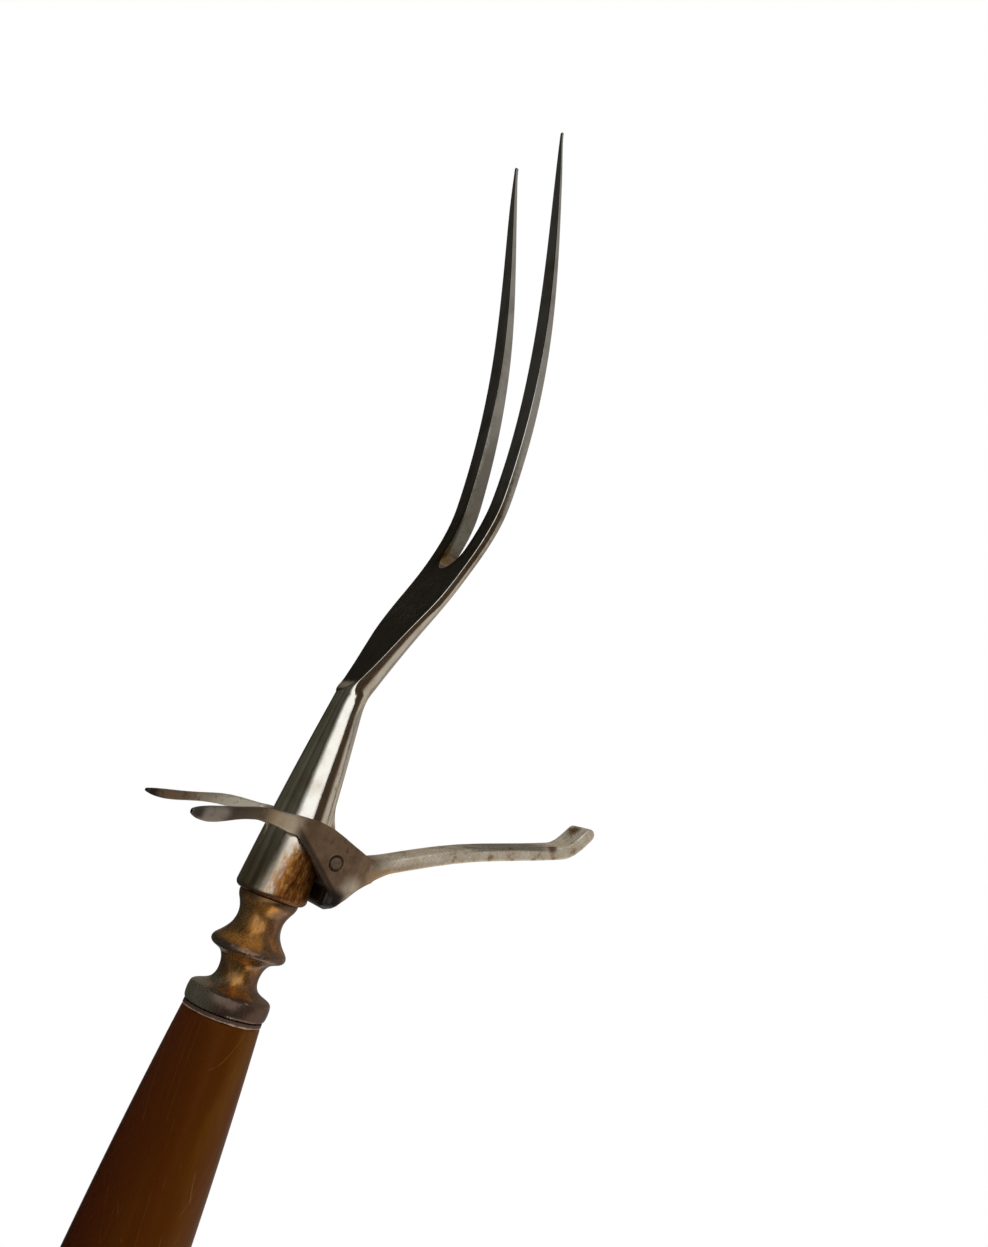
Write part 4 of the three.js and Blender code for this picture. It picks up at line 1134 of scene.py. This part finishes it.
def floor_material():
    """A pale floor that fades into the white background and can't be seen from below."""
    s = Shader("floor")
    spot = s.node("ShaderNodeNewGeometry")
    surface = s.node("ShaderNodeBsdfDiffuse", {"Color": FLOOR_COLOR})
    clear = s.node("ShaderNodeBsdfTransparent")
    away = s.node("ShaderNodeVectorMath", {0: spot.outputs["Position"]}, operation="LENGTH").outputs["Value"]
    hidden = s.math("MAXIMUM", spot.outputs["Backfacing"], s.rise(away, *FLOOR_FADE))
    shown = s.node("ShaderNodeMixShader", {0: hidden, 1: surface.outputs[0], 2: clear.outputs[0]})
    return s.show(shown.outputs[0])


def stage_object(name, points, faces, material):
    """A stage mesh through points in the row frame, in metres."""
    mesh = bpy.data.meshes.new(name)
    mesh.from_pydata(points, [], faces)
    mesh.materials.append(material)
    made = linked(name, mesh)
    return made


def square_object(name, height, material):
    """A flat square sheet at a height over the table."""
    signs = ((-1, -1), (1, -1), (1, 1), (-1, 1))
    corners = [(STAGE_REACH * x, STAGE_REACH * y, height) for x, y in signs]
    return stage_object(name, corners, [(0, 1, 2, 3)], material)


def tent_object(name, material):
    """An arched sheet over the fork, closed at the tines' end."""
    points = [
        (x, TENT_RADIUS * math.cos(turn), TENT_RADIUS * math.sin(turn) + TENT_FOOT)
        for turn in np.linspace(0, math.pi, TENT_STEPS + 1)
        for x in (-TENT_REACH, TENT_REACH)
    ]
    faces = [(2 * i, 2 * i + 1, 2 * i + 3, 2 * i + 2) for i in range(TENT_STEPS)]
    faces.append(tuple(2 * i + 1 for i in range(TENT_STEPS + 1)))
    return stage_object(name, points, faces, material)


def reflected_only(made):
    """A screen that shows in reflections, and neither casts a shadow nor is seen itself."""
    for ray in ("camera", "diffuse", "transmission", "shadow"):
        setattr(made, f"visible_{ray}", False)


def area_light(name, place, size, power):
    """A soft square lamp at a place in metres in the row frame, turned to the fork."""
    data = bpy.data.lights.new(name, "AREA")
    data.size = size
    data.energy = power
    lamp = linked(name, data)
    lamp.location = place
    lamp.rotation_mode = "QUATERNION"
    lamp.rotation_quaternion = (LAMP_TARGET - Vector(place)).to_track_quat("-Z", "Y")
    lamp.visible_glossy = False


def make_world():
    """White to the camera, to reflections and through glass, and a softer light on everything else."""
    world = bpy.data.worlds.new("studio")
    bpy.context.scene.world = world
    s = Nodes(world)
    rays = s.node("ShaderNodeLightPath").outputs
    seen = rays["Is Camera Ray"]
    for ray in ("Is Glossy Ray", "Is Transmission Ray"):
        seen = s.math("MAXIMUM", seen, rays[ray])
    soft, white = (
        s.node("ShaderNodeBackground", {"Color": (1, 1, 1, 1), "Strength": strength}).outputs[0]
        for strength in (SOFT_LIGHT, 1.0)
    )
    choice = s.node("ShaderNodeMixShader", {0: seen, 1: soft, 2: white})
    s.node("ShaderNodeOutputWorld", {"Surface": choice.outputs[0]})


def make_stage():
    """Floor, lamps, and the screens whose reflections shape the polished metal."""
    square_object("floor", 0, floor_material())
    reflected_only(square_object("table_screen", TABLE_SCREEN_HEIGHT, table_screen()))
    reflected_only(tent_object("tent_screen", tent_screen()))
    for lamp in LAMPS:
        area_light(*lamp)
    make_world()
    bpy.context.scene.view_settings.view_transform = "Standard"


def make_camera():
    """The photograph's camera."""
    data = bpy.data.cameras.new("camera")
    data.sensor_width = SENSOR
    data.lens = SENSOR * FOCAL_PIXELS / PHOTO_HEIGHT
    data.clip_start = CAMERA_CLIP_START
    turn = FORK.to_3x3().normalized()
    right = (turn @ CAMERA_RIGHT).normalized()
    away = right.cross(turn @ CAMERA_UP).normalized()
    up = away.cross(right)
    camera = linked("camera", data)
    aim = Matrix((right, up, away)).transposed().to_4x4()
    camera.matrix_world = Matrix.Translation(FORK @ CAMERA_PLACE) @ aim
    bpy.context.scene.camera = camera


make_camera()
make_stage()
make_head(plated_steel())
make_bolster(bronze())
make_handle(amber_resin())
make_cement(pale_cement())
make_guard(forged_steel("forged_steel", 1.0))
make_rivet(forged_steel("rivet_steel", 0.9))
